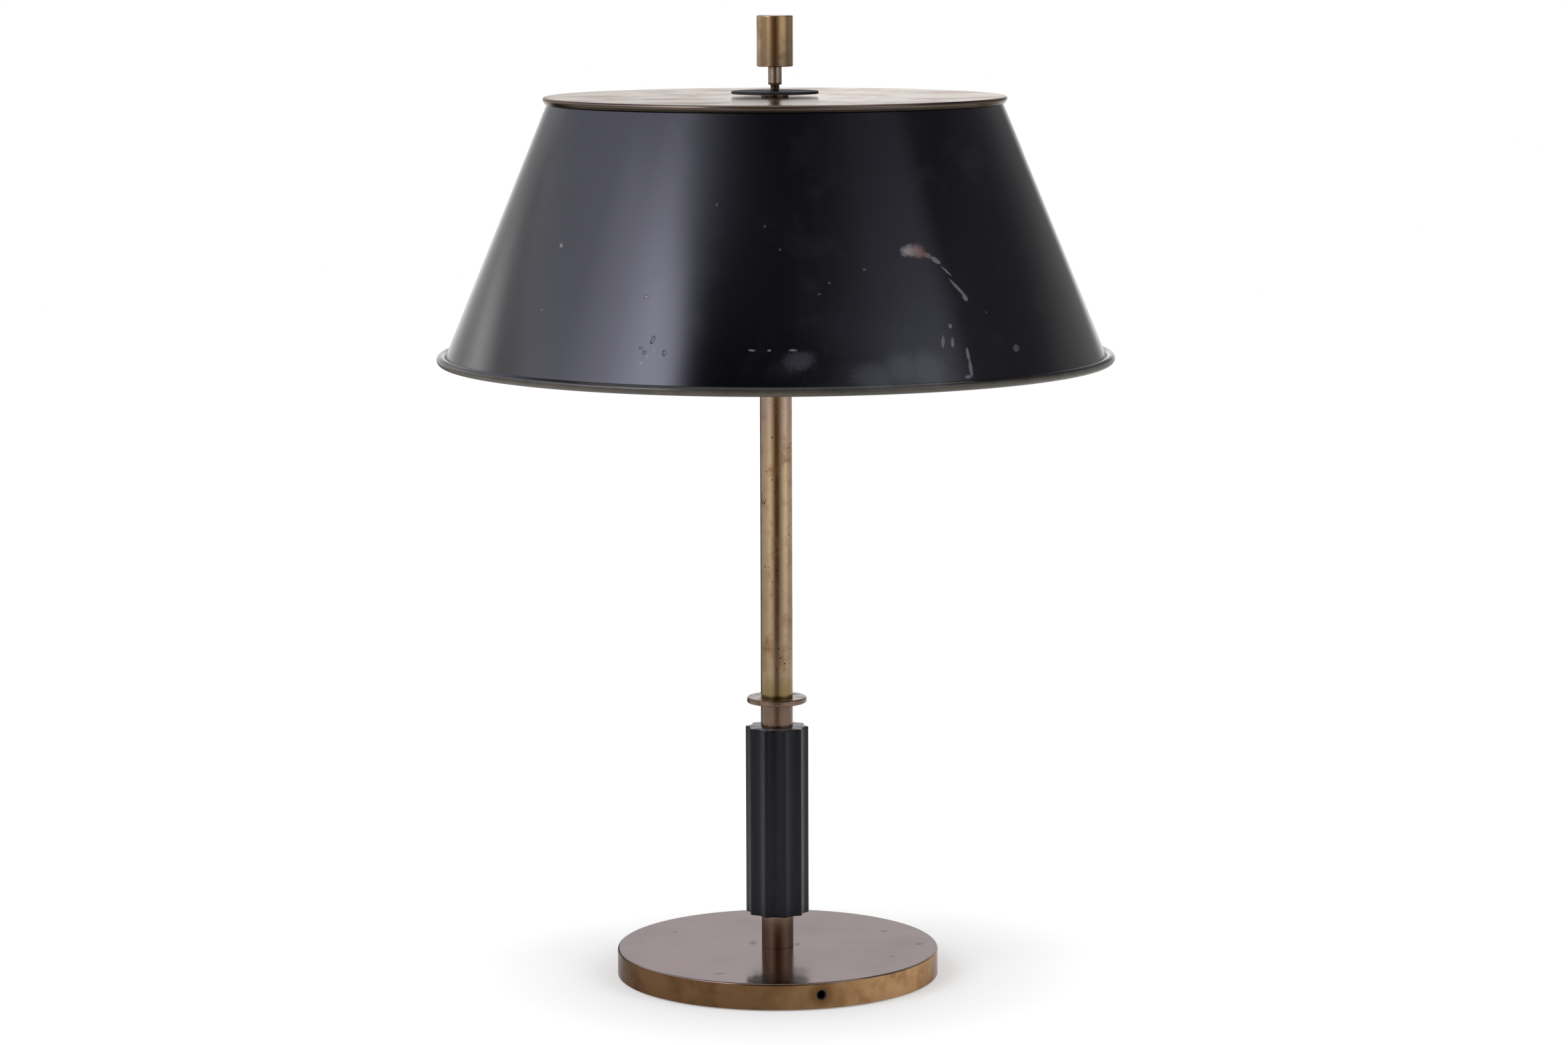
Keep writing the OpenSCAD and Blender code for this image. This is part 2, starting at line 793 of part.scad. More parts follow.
// Two nuts clamp the rod in the lid of the box
module rod_nuts() {
    color("goldenrod") {
        nut(rod_nut_af, rod_d, lid_z - rod_nut_h, rod_nut_h);
        nut(rod_nut_af, rod_d, lid_z + lid_t, rod_nut_h);
    }
}

module seat_washer() {
    color("goldenrod")
        ring(seat_d, run_d, seat_z - seat_t, seat_t);
}

// ---- Shade ----

// Cone with an inward flange at its top and its lower edge curled outwards round a wire
module shade_cone() {
    color([0.11, 0.11, 0.13])
        rotate_extrude($fn = 180)
            polygon(concat(
                [[cone_top_d / 2 - flange_w, seat_z], [cone_top_d / 2, seat_z]],
                arc(roll_mid, shade_z, roll_in, roll_start, roll_stop, 32),
                arc(roll_mid, shade_z, roll_r, roll_stop, roll_start, 32),
                [[cone_r(seat_z - sheet_t) - sheet_level, seat_z - sheet_t],
                 [cone_top_d / 2 - flange_w, seat_z - sheet_t]]));
}

module rim_wire() {
    color("silver")
        rotate_extrude($fn = 180)
            translate([roll_mid, shade_z])
                circle(r = roll_in - wire_gap, $fn = 48);
}

// Flat brass plate with a rounded edge and a hem that tapers in over the cone's top
module top_plate() {
    hem_z = plate_top - hem_h;
    hem_in = cone_r(hem_z) + hem_gap;
    color("burlywood")
        rotate_extrude($fn = 180)
            polygon(concat(
                [[run_d / 2, seat_z], [hem_in, seat_z], [hem_in, hem_z], [hem_in + hem_foot, hem_z]],
                arc(plate_d / 2 - hem_edge_r, plate_top - hem_edge_r, hem_edge_r, -30, 90, 12),
                [[run_d / 2, plate_top]]));
}

module top_hub() {
    color("peru")
        ring(hub_d, run_d, plate_top, hub_t);
}

module top_disc() {
    color([0.12, 0.11, 0.11])
        ring(disc_d, run_d, disc_z, disc_t);
}

// ---- Finial ----

// Fibre ring that rises and falls with the finial but doesn't turn
ring_inset = 0.1;
module finial_ring() {
    color([0.3, 0.18, 0.1])
        ring(neck_d - 2 * ring_inset, run_d, ring_z, ring_t);
}

module finial() {
    top = knob_z + knob_h;
    color("peru")
        rotate_extrude()
            polygon([[run_d / 2, finial_z], [neck_d / 2, finial_z], [neck_d / 2, knob_z],
                     [knob_d / 2 - knob_chamfer, knob_z], [knob_d / 2, knob_z + knob_chamfer],
                     [knob_d / 2, top - knob_chamfer], [knob_d / 2 - knob_chamfer, top],
                     [0, top], [0, finial_z + finial_bore_l], [run_d / 2, finial_z + finial_bore_l]]);
}

felt_pad();
base_weight();
base_shell();
cord_bush();
lock_washer();
tube_nuts();
central_tube();
foot();
grip();
neck();
collar();
stem_tube();
head_box();
head_lid();
lid_screws();
junction_block();
nipples();
nipple_nuts();
lead_pair(1);  // lead_pair_left
lead_pair(0);  // lead_pair_right
at_holder(180) holder_cap();  // holder_cap_left
at_holder(0) holder_cap();  // holder_cap_right
at_holder(180) holder_barrel();  // holder_barrel_left
at_holder(0) holder_barrel();  // holder_barrel_right
at_holder(180) porcelain();  // porcelain_left
at_holder(0) porcelain();  // porcelain_right
at_holder(180) screw_shell();  // screw_shell_left
at_holder(0) screw_shell();  // screw_shell_right
at_holder(180) contact();  // contact_left
at_holder(0) contact();  // contact_right
at_holder(180) switch_key();  // switch_key_left
at_holder(0) switch_key();  // switch_key_right
at_holder(180) switch_rotor();  // switch_rotor_left
at_holder(0) switch_rotor();  // switch_rotor_right
at_holder(180) bulb_cap();  // bulb_cap_left
at_holder(0) bulb_cap();  // bulb_cap_right
at_holder(180) bulb_glass();  // bulb_glass_left
at_holder(0) bulb_glass();  // bulb_glass_right
shade_rod();
rod_nuts();
seat_washer();
shade_cone();
rim_wire();
top_plate();
top_hub();
top_disc();
finial_ring();
finial();
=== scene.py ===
from math import acos, asin, cos, pi, radians, sin, sqrt, tan

import bpy
import numpy as np
from mathutils import Matrix, Vector


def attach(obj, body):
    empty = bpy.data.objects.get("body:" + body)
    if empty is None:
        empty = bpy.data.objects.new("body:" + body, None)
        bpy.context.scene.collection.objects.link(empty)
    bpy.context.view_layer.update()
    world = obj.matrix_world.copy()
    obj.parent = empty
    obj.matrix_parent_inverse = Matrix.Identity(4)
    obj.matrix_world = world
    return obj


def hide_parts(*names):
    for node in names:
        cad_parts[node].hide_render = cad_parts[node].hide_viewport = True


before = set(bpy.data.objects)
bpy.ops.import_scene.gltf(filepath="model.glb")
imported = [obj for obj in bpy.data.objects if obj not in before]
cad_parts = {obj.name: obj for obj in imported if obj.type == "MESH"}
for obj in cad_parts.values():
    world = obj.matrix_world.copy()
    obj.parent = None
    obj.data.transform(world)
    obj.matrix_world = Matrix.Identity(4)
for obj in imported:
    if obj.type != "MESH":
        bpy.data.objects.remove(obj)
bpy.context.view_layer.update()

# ---- Hidden core of the base ----
# A sand-cast iron disc gives the base its weight, with felt glued under it.
# A zinc-plated steel tube with a nut at each end draws the whole stack together.


def linear(code):
    """A shader's linear colour from an sRGB hex code."""
    c = np.array([int(code[i:i + 2], 16) for i in (1, 3, 5)]) / 255
    return (*np.where(c <= 0.04045, c / 12.92, ((c + 0.055) / 1.055) ** 2.4), 1.0)


def add(tree, kind, inputs=None, **settings):
    """A new node with its settings. Each input is set to a value, or linked to an output or to the first
    output in use of another node."""
    node = tree.nodes.new("ShaderNode" + kind)
    for name, value in settings.items():
        setattr(node, name, value)
    for name, value in (inputs or {}).items():
        if isinstance(value, bpy.types.Node):
            value = next(output for output in value.outputs if output.enabled)
        if isinstance(value, bpy.types.NodeSocket):
            tree.links.new(value, node.inputs[name])
        else:
            node.inputs[name].default_value = value
    return node


def noise(tree, place, patch, detail, roughness=0.5):
    """Random values in soft patches about `patch` mm across."""
    inputs = {"Vector": place, "Scale": 1 / patch, "Detail": detail, "Roughness": roughness}
    return add(tree, "TexNoise", inputs)


def ramp(tree, value, low=0, high=1, to_low=0, to_high=1, smooth=False):
    """A value carried from the range between low and high to another range, and held at both ends."""
    blend = "SMOOTHSTEP" if smooth else "LINEAR"
    return add(tree, "MapRange", {0: value, 1: low, 2: high, 3: to_low, 4: to_high}, interpolation_type=blend)


def calc(tree, operation, *values):
    """Arithmetic on two or three values."""
    return add(tree, "Math", dict(enumerate(values)), operation=operation)


def vector(tree, operation, *vectors, **more):
    """Vector arithmetic."""
    return add(tree, "VectorMath", {**dict(enumerate(vectors)), **more}, operation=operation)


def axes(tree, place):
    """The x, y and z of a place."""
    return add(tree, "SeparateXYZ", {0: place}).outputs


def mix(tree, share, first, second):
    """A colour between two others, which are hex codes or come from nodes."""
    ends = [linear(end) if isinstance(end, str) else end for end in (first, second)]
    return add(tree, "Mix", {0: share, 6: ends[0], 7: ends[1]}, data_type="RGBA")


def bump(tree, strength, distance, height):
    """A relief as deep as `distance` in metres."""
    return add(tree, "Bump", {"Strength": strength, "Distance": distance, "Height": height})


def blank(name):
    """A new material and its node tree, empty."""
    material = bpy.data.materials.new(name)
    material.use_nodes = True
    material.node_tree.nodes.clear()
    return material, material.node_tree


def start(name):
    """A new material, its node tree, and the place on the lamp in millimetres for patterns to follow."""
    material, tree = blank(name)
    place = add(tree, "TexCoord").outputs["Object"]
    return material, tree, vector(tree, "SCALE", place, Scale=1000.0)


def surface(tree, colour, roughness, normal=None, metal=0.0, more=None):
    """Ends a material with its shader."""
    inputs = {"Base Color": colour, "Roughness": roughness, "Metallic": metal, **(more or {})}
    if normal is not None:
        inputs["Normal"] = normal
    shader = add(tree, "BsdfPrincipled", inputs)
    add(tree, "OutputMaterial", {"Surface": shader})


def dress(node, material):
    """Gives a CAD node its material."""
    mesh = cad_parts[node].data
    mesh.materials.clear()
    mesh.materials.append(material)


# Pressed wool felt: matt, with short fibres that lie every way
pressed_felt, tree, mm = start("pressed_wool_felt")
fibre = noise(tree, mm, 0.6, 6.0, 0.75)
clump = noise(tree, mm, 5.0, 3.0)
tone = calc(tree, "MULTIPLY", fibre, clump)
colour = mix(tree, tone, "#20281a", "#6f7a52")
nap = bump(tree, 0.8, 0.0004, fibre)
surface(tree, colour, 1.0, nap, more={"Sheen Weight": 0.4})

# Sand-cast grey iron: dull and pitted at the grain size of the sand, with some rust
cast_iron, tree, mm = start("sand_cast_iron")
grit = noise(tree, mm, 1.2, 5.0, 0.7)
rust = noise(tree, mm, 9.0, 5.0)
rusty = ramp(tree, rust, 0.5, 0.72)
colour = mix(tree, rusty, "#3c3b3a", "#5d3b26")
pits = bump(tree, 0.7, 0.0005, grit)
surface(tree, colour, 0.72, pits, metal=0.5)

# Zinc-plated steel: grey, faintly spangled, gone dull
zinc_steel, tree, mm = start("zinc_plated_steel")
spangle = noise(tree, mm, 2.5, 4.0, 0.6)
colour = mix(tree, spangle, "#77787a", "#b4b4b2")
dull = ramp(tree, spangle, 0.3, 0.7, 0.28, 0.5)
surface(tree, colour, dull, metal=1.0)


def patina(tree, mm, clean, tarnish, patch, reach, speck, share):
    """Colour of bare brass that has aged, and how far it is tarnished, from 0 to 1.
    Tarnish lies in clouds `patch` mm across, from none to full where the noise passes the levels in `reach`,
    and in specks `speck` mm across wherever their own noise is above `share`."""
    cloud = noise(tree, mm, patch, 6.0, 0.62)
    veil = ramp(tree, cloud, reach[0], reach[1], smooth=True)
    dots = noise(tree, mm, speck, 2.0, 0.5)
    spots = ramp(tree, dots, share, share + 0.06, smooth=True)
    both = calc(tree, "MAXIMUM", veil, spots)
    colour = mix(tree, both, clean, tarnish)
    return colour, both


# Turned brass of nuts and screws: fine tool rings, yellow, a little dull
nut_brass, tree, mm = start("turned_brass")
colour, aged = patina(tree, mm, "#c2a263", "#86683a", 6.0, (0.45, 0.7), 0.7, 0.7)
rings = noise(tree, mm, 0.4, 1.0)
cut = bump(tree, 0.2, 0.0001, rings)
dull = ramp(tree, aged, 0, 1, 0.25, 0.45)
surface(tree, colour, dull, cut, metal=1.0)

dress("felt_pad", pressed_felt)
dress("base_weight", cast_iron)
for node in ("lock_washer", "central_tube", "nipples", "rim_wire"):
    dress(node, zinc_steel)
for node in ("tube_nuts", "nipple_nuts"):
    dress(node, nut_brass)

# ---- Base shell ----
# Sheet brass spun over a former and polished, with a rounded upper edge, sitting on the iron like a lid.
# Its side has gone golden brown in patches, and the top keeps a dim mirror gloss.

base_r = 84.5
base_top = 14.2
shell_wall = 1.2
tube_hole = 5.15  # radius of the hole for the central tube
inlet_turn = radians(15.4 - 90)  # direction of the cord inlet
inlet_z = 7.7


def rounded(corners, steps=6):
    """The closed outline through corners (r, z, radius). A corner becomes an arc of its radius that touches
    both sides, and one more point on each side keeps the shading of the long faces flat."""
    outline = []
    for k, (r, z, radius) in enumerate(corners):
        here = np.array([r, z], float)
        if not radius:
            outline.append(here)
            continue
        to_last = np.array(corners[k - 1][:2], float) - here
        to_next = np.array(corners[(k + 1) % len(corners)][:2], float) - here
        u, v = to_last / np.hypot(*to_last), to_next / np.hypot(*to_next)
        half = acos(np.clip(u @ v, -1, 1)) / 2
        reach = radius / tan(half)
        middle = here + (u + v) / np.hypot(*(u + v)) * radius / sin(half)
        first, last = (here + u * reach - middle) / radius, (here + v * reach - middle) / radius
        sweep = pi - 2 * half
        t = np.linspace(0, 1, steps + 1)[:, None]
        arc = (np.sin((1 - t) * sweep) * first + np.sin(t * sweep) * last) / sin(sweep)
        guard = 0.12 * radius
        if np.hypot(*to_last) > 2 * (reach + guard):
            outline.append(here + u * (reach + guard))
        outline.extend(middle + radius * arc)
        if np.hypot(*to_next) > 2 * (reach + guard):
            outline.append(here + v * (reach + guard))
    return np.array(outline)


def sleeve(bore, r, low, high, low_edge, high_edge):
    """The outline of a tube, or of a disc with a hole, whose two outer edges are rounded."""
    return rounded([(bore, low, 0), (r, low, low_edge), (r, high, high_edge), (bore, high, 0)])


def put(name, data):
    """A new object in the scene."""
    thing = bpy.data.objects.new(name, data)
    bpy.context.collection.objects.link(thing)
    return thing


def skin(name, points, place=Matrix(), ring=True):
    """A mesh over a grid of points (row, column) in mm. Rows close into rings, and with `ring` the last row
    joins the first. A row that shrinks to one point becomes a pole with three-sided faces round it."""
    rows, columns = points.shape[:2]
    ids = np.arange(rows * columns).reshape(rows, columns)
    pole = np.ptp(points, axis=1).max(axis=1) < 1e-6
    ids[pole] = ids[pole][:, :1]
    if ring:
        ids = np.vstack([ids, ids[:1]])
    ids = np.hstack([ids, ids[:, :1]])
    quads = np.stack([ids[:-1, :-1], ids[:-1, 1:], ids[1:, 1:], ids[1:, :-1]], axis=-1).reshape(-1, 4)
    used, quads = np.unique(quads, return_inverse=True)
    quads = quads.reshape(-1, 4)
    low, high = quads[:, 0] == quads[:, 1], quads[:, 2] == quads[:, 3]
    faces = (quads[~low & ~high].tolist() + quads[low & ~high][:, 1:].tolist()
             + quads[high & ~low][:, :3].tolist())
    turn = np.array(place)
    flat = points.reshape(-1, 3)[used] @ turn[:3, :3].T + turn[:3, 3]
    mesh = bpy.data.meshes.new(name)
    mesh.from_pydata((flat * 0.001).tolist(), [], faces)
    mesh.shade_smooth()
    mesh.set_sharp_from_angle(angle=radians(32))
    return put(name, mesh)


def angles(count):
    """Evenly spaced angles once round a circle."""
    return np.linspace(0, 2 * pi, count, endpoint=False)


def circle(r, a, z):
    """Points (r cos a, r sin a, z)."""
    return np.stack([r * np.cos(a), r * np.sin(a), z + 0 * a], axis=-1)


def turned(name, outline, place=Matrix(), count=96):
    """A surface of revolution: outline point (r, z) at angle a lies at (r cos a, r sin a, z)."""
    a = angles(count)
    return skin(name, circle(outline[:, :1], a, outline[:, 1:]), place)


def fit(piece, body, slot, material, *nodes):
    """Gives a piece its body and material, and hides the CAD nodes it stands for. The slot is not used."""
    piece.data.materials.append(material)
    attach(piece, body)
    if nodes:
        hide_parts(*nodes)


def outward(turn, height, tip=pi / 2):
    """A place on an axis, turned about it, whose own Z axis is tipped outwards."""
    return Matrix.Rotation(turn, 4, "Z") @ Matrix.Translation((0, 0, height)) @ Matrix.Rotation(tip, 4, "Y")


def drill(piece, place, radius, low, high):
    """Cuts a round hole out of a piece, from `low` to `high` along the Z axis of `place`."""
    bit = turned("bit", np.array([[0, low], [radius, low], [radius, high], [0, high]], float), place, 48)
    hole = piece.modifiers.new("hole", "BOOLEAN")
    hole.object = bit
    hole.solver = "EXACT"
    mesh = bpy.data.meshes.new_from_object(piece.evaluated_get(bpy.context.evaluated_depsgraph_get()))
    piece.modifiers.clear()
    piece.data = mesh
    bpy.data.objects.remove(bit)
    mesh.set_sharp_from_angle(angle=radians(32))


def marks(tree, spread, ragged, spots, unit=1.0, fade=0.4):
    """How far a point lies in any of the marks, from 0 to 1. A mark is an ellipse: its place (across,
    along), half its length and half its width in mm, and its lean in degrees. `unit` is the length in mm
    that the place across counts in, `ragged` how rough the edges are in mm, and `fade` the share of the
    ellipse they fade over."""
    wander = noise(tree, spread, 1.7, 4.0, 0.7)
    shift = vector(tree, "SUBTRACT", wander.outputs[1], (0.5, 0.5, 0.5))
    shift = vector(tree, "SCALE", shift, Scale=4 * ragged)
    rough = vector(tree, "ADD", spread, shift)
    total = None
    for across, along, length, width, slope in spots:
        spot = {"Vector": rough, "Location": (across * unit, along, 0), "Rotation": (0, 0, radians(slope)),
                "Scale": (length, width, 100)}
        inside = add(tree, "Mapping", spot, vector_type="TEXTURE")
        away = vector(tree, "LENGTH", inside)
        mark = ramp(tree, away, 1.1, 1.1 - fade)
        total = mark if total is None else calc(tree, "MAXIMUM", mark, total)
    return total


# Spun and polished brass: the top a dim mirror with fine marks from wiping and a few dark spots, painted pale
# mauve grey as a painted reflection; the side painted brown on the left and golden on the right as painted
# shading, with a brown halo round the cord inlet
base_brass, tree, mm = start("spun_brass_polished_and_aged")
top_colour, top_aged = patina(tree, mm, "#a79b98", "#9a908d", 40.0, (0.4, 0.75), 1.1, 0.76)
brown, brown_aged = patina(tree, mm, "#6c5136", "#553e29", 18.0, (0.42, 0.7), 1.3, 0.72)
gold, gold_aged = patina(tree, mm, "#b8936a", "#96714c", 14.0, (0.4, 0.7), 1.3, 0.74)
x, y, height = axes(tree, mm)
# Painted shading: the side runs from dark brown on the left to golden on the right, as the light falls on it.
drift = noise(tree, mm, 20.0, 2.0)
place = calc(tree, "MULTIPLY_ADD", drift, 30.0, x)
painted_light_to_right = ramp(tree, place, 10.0, 88.0)
side = mix(tree, painted_light_to_right, brown, gold)
inlet = add(tree, "CombineXYZ", {0: base_r * cos(inlet_turn), 1: base_r * sin(inlet_turn), 2: inlet_z})
near = vector(tree, "DISTANCE", mm, inlet)
halo = ramp(tree, near, 9.0, 3.5, 0.0, 0.75, smooth=True)
side = mix(tree, halo, side, "#5c4027")
side_aged = calc(tree, "MAXIMUM", brown_aged, gold_aged)
# The top face gets its own pale mauve grey: a painted reflection of the white surroundings.
on_top = ramp(tree, height, base_top - 0.7, base_top - 0.1)
flat = vector(tree, "MULTIPLY", mm, (1, 1, 0))
dark_spots = marks(tree, flat, 1.0, [
    (-13, 5, 2.6, 6.0, 0), (10.5, 2, 1.6, 5.0, 0), (57, 31, 3.4, 2.4, 10), (75, 2, 3.0, 3.0, 0),
    (60, -26, 1.4, 2.0, 0), (-30, -62, 5.0, 2.0, 20), (-55, 30, 2.0, 1.6, 0)], fade=0.9)
dark_spots = calc(tree, "MULTIPLY", dark_spots, 0.6)
top = mix(tree, dark_spots, top_colour, "#4c3c36")
colour = mix(tree, on_top, side, top)
aged = add(tree, "Mix", {0: on_top, 2: side_aged, 3: top_aged}, data_type="FLOAT")
wiping = noise(tree, mm, 3.0, 8.0, 0.7)
smear = calc(tree, "ADD", aged, wiping)
dull = ramp(tree, smear, 0.3, 1.5, 0.1, 0.24)
hammer = noise(tree, mm, 25.0, 1.0)
wave = bump(tree, 0.15, 0.001, hammer)
surface(tree, colour, dull, wave, metal=1.0, more={"Specular Tint": linear("#cecacb")})

base_shell = turned("base_shell_spun", rounded([
    (tube_hole, base_top - shell_wall, 0), (base_r - shell_wall, base_top - shell_wall, 0),
    (base_r - shell_wall, 0.5, 0), (base_r, 0.5, 0), (base_r, base_top, 1.2), (tube_hole, base_top, 0)]),
    count=480)
at_inlet = outward(inlet_turn, inlet_z)
drill(base_shell, at_inlet, 2.8, base_r - 3, base_r + 2)
fit(base_shell, "stand", "base_brass", base_brass, "base_shell")

# ---- Cord inlet ----
# A black bush of moulded phenolic resin keeps the flex off the sheet's edge.
# It is pushed in from inside, so only its rounded end shows.

# Moulded phenolic resin: smooth and black, gone a little grey
inlet_resin, tree, mm = start("moulded_black_phenolic")
pale_patches = noise(tree, mm, 1.5, 5.0)
colour = mix(tree, pale_patches, "#0c0b0b", "#232120")
dull = ramp(tree, pale_patches, 0.3, 0.7, 0.3, 0.5)
surface(tree, colour, dull, more={"IOR": 1.55})

bush_back = sqrt((base_r - shell_wall) ** 2 - 3.8 ** 2) - 1.5
bush = turned("inlet_bush", rounded([
    (2.1, bush_back, 0), (3.8, bush_back, 0.2), (3.8, bush_back + 1.5, 0.2), (2.8, bush_back + 1.5, 0),
    (2.8, base_r - 0.1, 0.3), (2.1, base_r - 0.1, 0.35)]), at_inlet, 48)
fit(bush, "stand", "bush", inlet_resin, "cord_bush")

# ---- Foot and neck ----
# Two short lengths of drawn brass tube above and below the grip.
# Handling and polish residue have left them browner than the stem.

tube_r = 8.4  # outside of foot, neck and stem
grip_low, grip_high = 32.5, 132.0
neck_top = 144.8


def stretched(tree, mm, scale, detail, roughness=0.5):
    """Noise whose patches measure one over `scale` in mm along each axis."""
    drawn = add(tree, "Mapping", {"Vector": mm, "Scale": scale})
    return noise(tree, drawn, 1.0, detail, roughness)


# Drawn brass tube: faint marks along its length, brown, speckled
foot_brass, tree, mm = start("drawn_brass_browned")
colour, aged = patina(tree, mm, "#8d7565", "#66503f", 12.0, (0.45, 0.8), 0.8, 0.78)
lines = stretched(tree, mm, (2.0, 2.0, 0.06), 3.0)
dull = ramp(tree, aged, 0, 1, 0.18, 0.32)
scored = bump(tree, 0.15, 0.0001, lines)
height = axes(tree, mm)[2]
# The neck comes out darker than the foot.
tone_by_height = ramp(tree, height, 100.0, 130.0, 1.0, 0.62)
colour = vector(tree, "SCALE", colour, Scale=tone_by_height)
surface(tree, colour, dull, scored, metal=1.0)

for name, low, high in (("foot", base_top, grip_low), ("neck", grip_high, neck_top)):
    tube = turned(name + "_tube", sleeve(tube_hole, tube_r, low, high, 0.2, 0.2), count=128)
    fit(tube, "stand", "stem_brass", foot_brass, name)

# ---- Grip ----
# Beech turned to a cylinder, cut with ten round flutes and finished in black lacquer.
# The lacquer has rubbed thin and greyish on the ribs between the flutes.

grip_r = 16.0
flute_count = 10
flute_turn = -4.0  # degrees from the front to the first flute's middle
flute_half = pi / flute_count - asin(1.2 / grip_r)
flute_sag = 0.25
flute_floor = grip_r * cos(flute_half) - flute_sag
flute_r = ((grip_r * sin(flute_half)) ** 2 + flute_sag ** 2) / (2 * flute_sag)


def grip_edge(a):
    """The grip's radius at angle a: the nearer of the turned cylinder and the flute's circle, whose middle
    lies outside the grip. The two are blended so that each rib has a worn, rounded edge."""
    step = 2 * pi / flute_count
    off = (a - radians(flute_turn - 90) + step / 2) % step - step / 2
    middle = flute_floor + flute_r
    flute = middle * np.cos(off) - np.sqrt(flute_r ** 2 - (middle * np.sin(off)) ** 2)
    sharpness = 14.0
    return -np.log(np.exp(-sharpness * (flute - grip_r)) + 1) / sharpness + flute


# Black lacquer over beech: soft gloss, faint lengthwise grain under it, thin on the ribs, and a flat top
# painted pale grey as a painted reflection
grip_lacquer, tree, mm = start("black_lacquer_on_turned_beech")
grain = stretched(tree, mm, (1.2, 1.2, 0.05), 5.0, 0.6)
rub = noise(tree, mm, 7.0, 5.0, 0.65)
x, y, z = axes(tree, mm)
out = vector(tree, "LENGTH", add(tree, "CombineXYZ", {0: x, 1: y}))
rib = ramp(tree, out, grip_r - 0.6, grip_r - 0.05)
worn = calc(tree, "MULTIPLY", rib, rub)
colour = mix(tree, worn, "#07080c", "#0d0d12")
# Painted reflection: the flat top face is painted pale grey, as the bright surroundings would show in it seen
# nearly edge on.
painted_top_reflection = ramp(tree, z, grip_high - 0.1, grip_high - 0.02, 0, 0.8)
colour = mix(tree, painted_top_reflection, colour, "#575252")
both = calc(tree, "MULTIPLY", rub, grain)
dull = ramp(tree, both, 0.1, 0.45, 0.2, 0.34)
pores = bump(tree, 0.25, 0.0003, grain)
surface(tree, colour, dull, pores, more={"IOR": 1.36, "Specular Tint": linear("#dadde8")})

a = angles(40 * flute_count)
edge = grip_edge(a)
chamfer = [(0.45, 0.0), (0.25, 0.08), (0.08, 0.25), (0.0, 0.45), (0.0, 0.7)]
levels = ([(grip_low, None)] + [(grip_low + up, inset) for inset, up in chamfer]
          + [(z, 0.0) for z in np.linspace(grip_low + 4, grip_high - 4, 12)]
          + [(grip_high - up, inset) for inset, up in reversed(chamfer)] + [(grip_high, None)])
rows = [circle(tube_hole + 0 * a if inset is None else edge - inset, a, level) for level, inset in levels]
grip = skin("grip_fluted", np.array(rows))
fit(grip, "stand", "grip_lacquer", grip_lacquer, "grip")

# ---- Collar ----
# A thin brass disc turned with rounded edges, clamped between neck and stem.
# It is brownish.

# Turned brass with a dark film: tool rings round the lamp's axis
collar_brass, tree, mm = start("turned_brass_worn")
colour, aged = patina(tree, mm, "#7b6759", "#564639", 6.0, (0.45, 0.75), 0.7, 0.74)
dull = ramp(tree, aged, 0, 1, 0.2, 0.4)
tool = stretched(tree, mm, (0.1, 0.1, 4.0), 2.0)
cut = bump(tree, 0.15, 0.0001, tool)
surface(tree, colour, dull, cut, metal=1.0)

stem_low, stem_top = 147.8, 340.0
collar = turned("collar_turned", rounded([
    (tube_hole, neck_top, 0), (15.6, neck_top, 0.7), (15.6, stem_low, 0.7), (6.7, stem_low, 0),
    (6.7, 151.8, 0.3), (tube_hole, 151.8, 0)]), count=160)
fit(collar, "stand", "collar_brass", collar_brass, "collar")

# ---- Stem ----
# A long drawn brass tube. Its clear lacquer is gone, and a speckled brown patina has
# come instead, greenish low down near the collar.

# Drawn brass with patina: long soft reflections broken by dark specks and small pits
stem_brass, tree, mm = start("drawn_brass_speckled")
colour, aged = patina(tree, mm, "#c4a888", "#8d6a48", 11.0, (0.46, 0.78), 0.9, 0.68)
height = axes(tree, mm)[2]
low_down = ramp(tree, height, 164.0, 150.0, smooth=True)
upper = ramp(tree, height, 270.0, 315.0, 0, 0.7)
colour = mix(tree, upper, colour, "#a8908a")
# The stem is darker towards its low end near the collar.
tone_by_height = ramp(tree, height, 165.0, 235.0, 0.66, 0.97)
colour = vector(tree, "SCALE", colour, Scale=tone_by_height)
green = mix(tree, low_down, colour, "#84714f")
pit = add(tree, "TexVoronoi", {"Vector": mm, "Scale": 1 / 3.2, "Randomness": 1.0})
pitted = ramp(tree, pit, 0.2, 0.12, smooth=True)
where = noise(tree, mm, 14.0, 2.0)
some = ramp(tree, where, 0.5, 0.6)
dotted = calc(tree, "MULTIPLY", pitted, some)
colour = mix(tree, dotted, green, "#2e2113")
dull = ramp(tree, aged, 0, 1, 0.17, 0.34)
lines = stretched(tree, mm, (1.5, 1.5, 0.03), 3.0)
scored = bump(tree, 0.12, 0.0001, lines)
surface(tree, colour, dull, scored, metal=1.0)

stem = turned("stem_drawn", sleeve(6.8, tube_r, stem_low, stem_top, 0.25, 0.25), count=160)
fit(stem, "stand", "stem_brass", stem_brass, "stem_tube")

# ---- Head box ----
# A spun brass cup on top of the stem, closed by a lid with two side screws. Two tubular
# stubs, brazed on at a slant, carry the lampholders. The flex's cores meet inside in a porcelain block.

cross_z = 350.0  # where the lampholders' axes cross
holder_tilt = radians(20)
at_holder = {side: outward(turn, cross_z, pi / 2 - holder_tilt)
             for side, turn in (("right", 0.0), ("left", pi))}

# Spun brass that never was polished again: even dull gold with brown clouds from the lamps' heat
head_brass, tree, mm = start("spun_brass_dull")
colour, aged = patina(tree, mm, "#a98c57", "#6d5330", 14.0, (0.4, 0.68), 0.9, 0.7)
dull = ramp(tree, aged, 0, 1, 0.28, 0.48)
tool = stretched(tree, mm, (0.15, 0.15, 2.5), 2.0)
cut = bump(tree, 0.15, 0.0002, tool)
surface(tree, colour, dull, cut, metal=1.0)

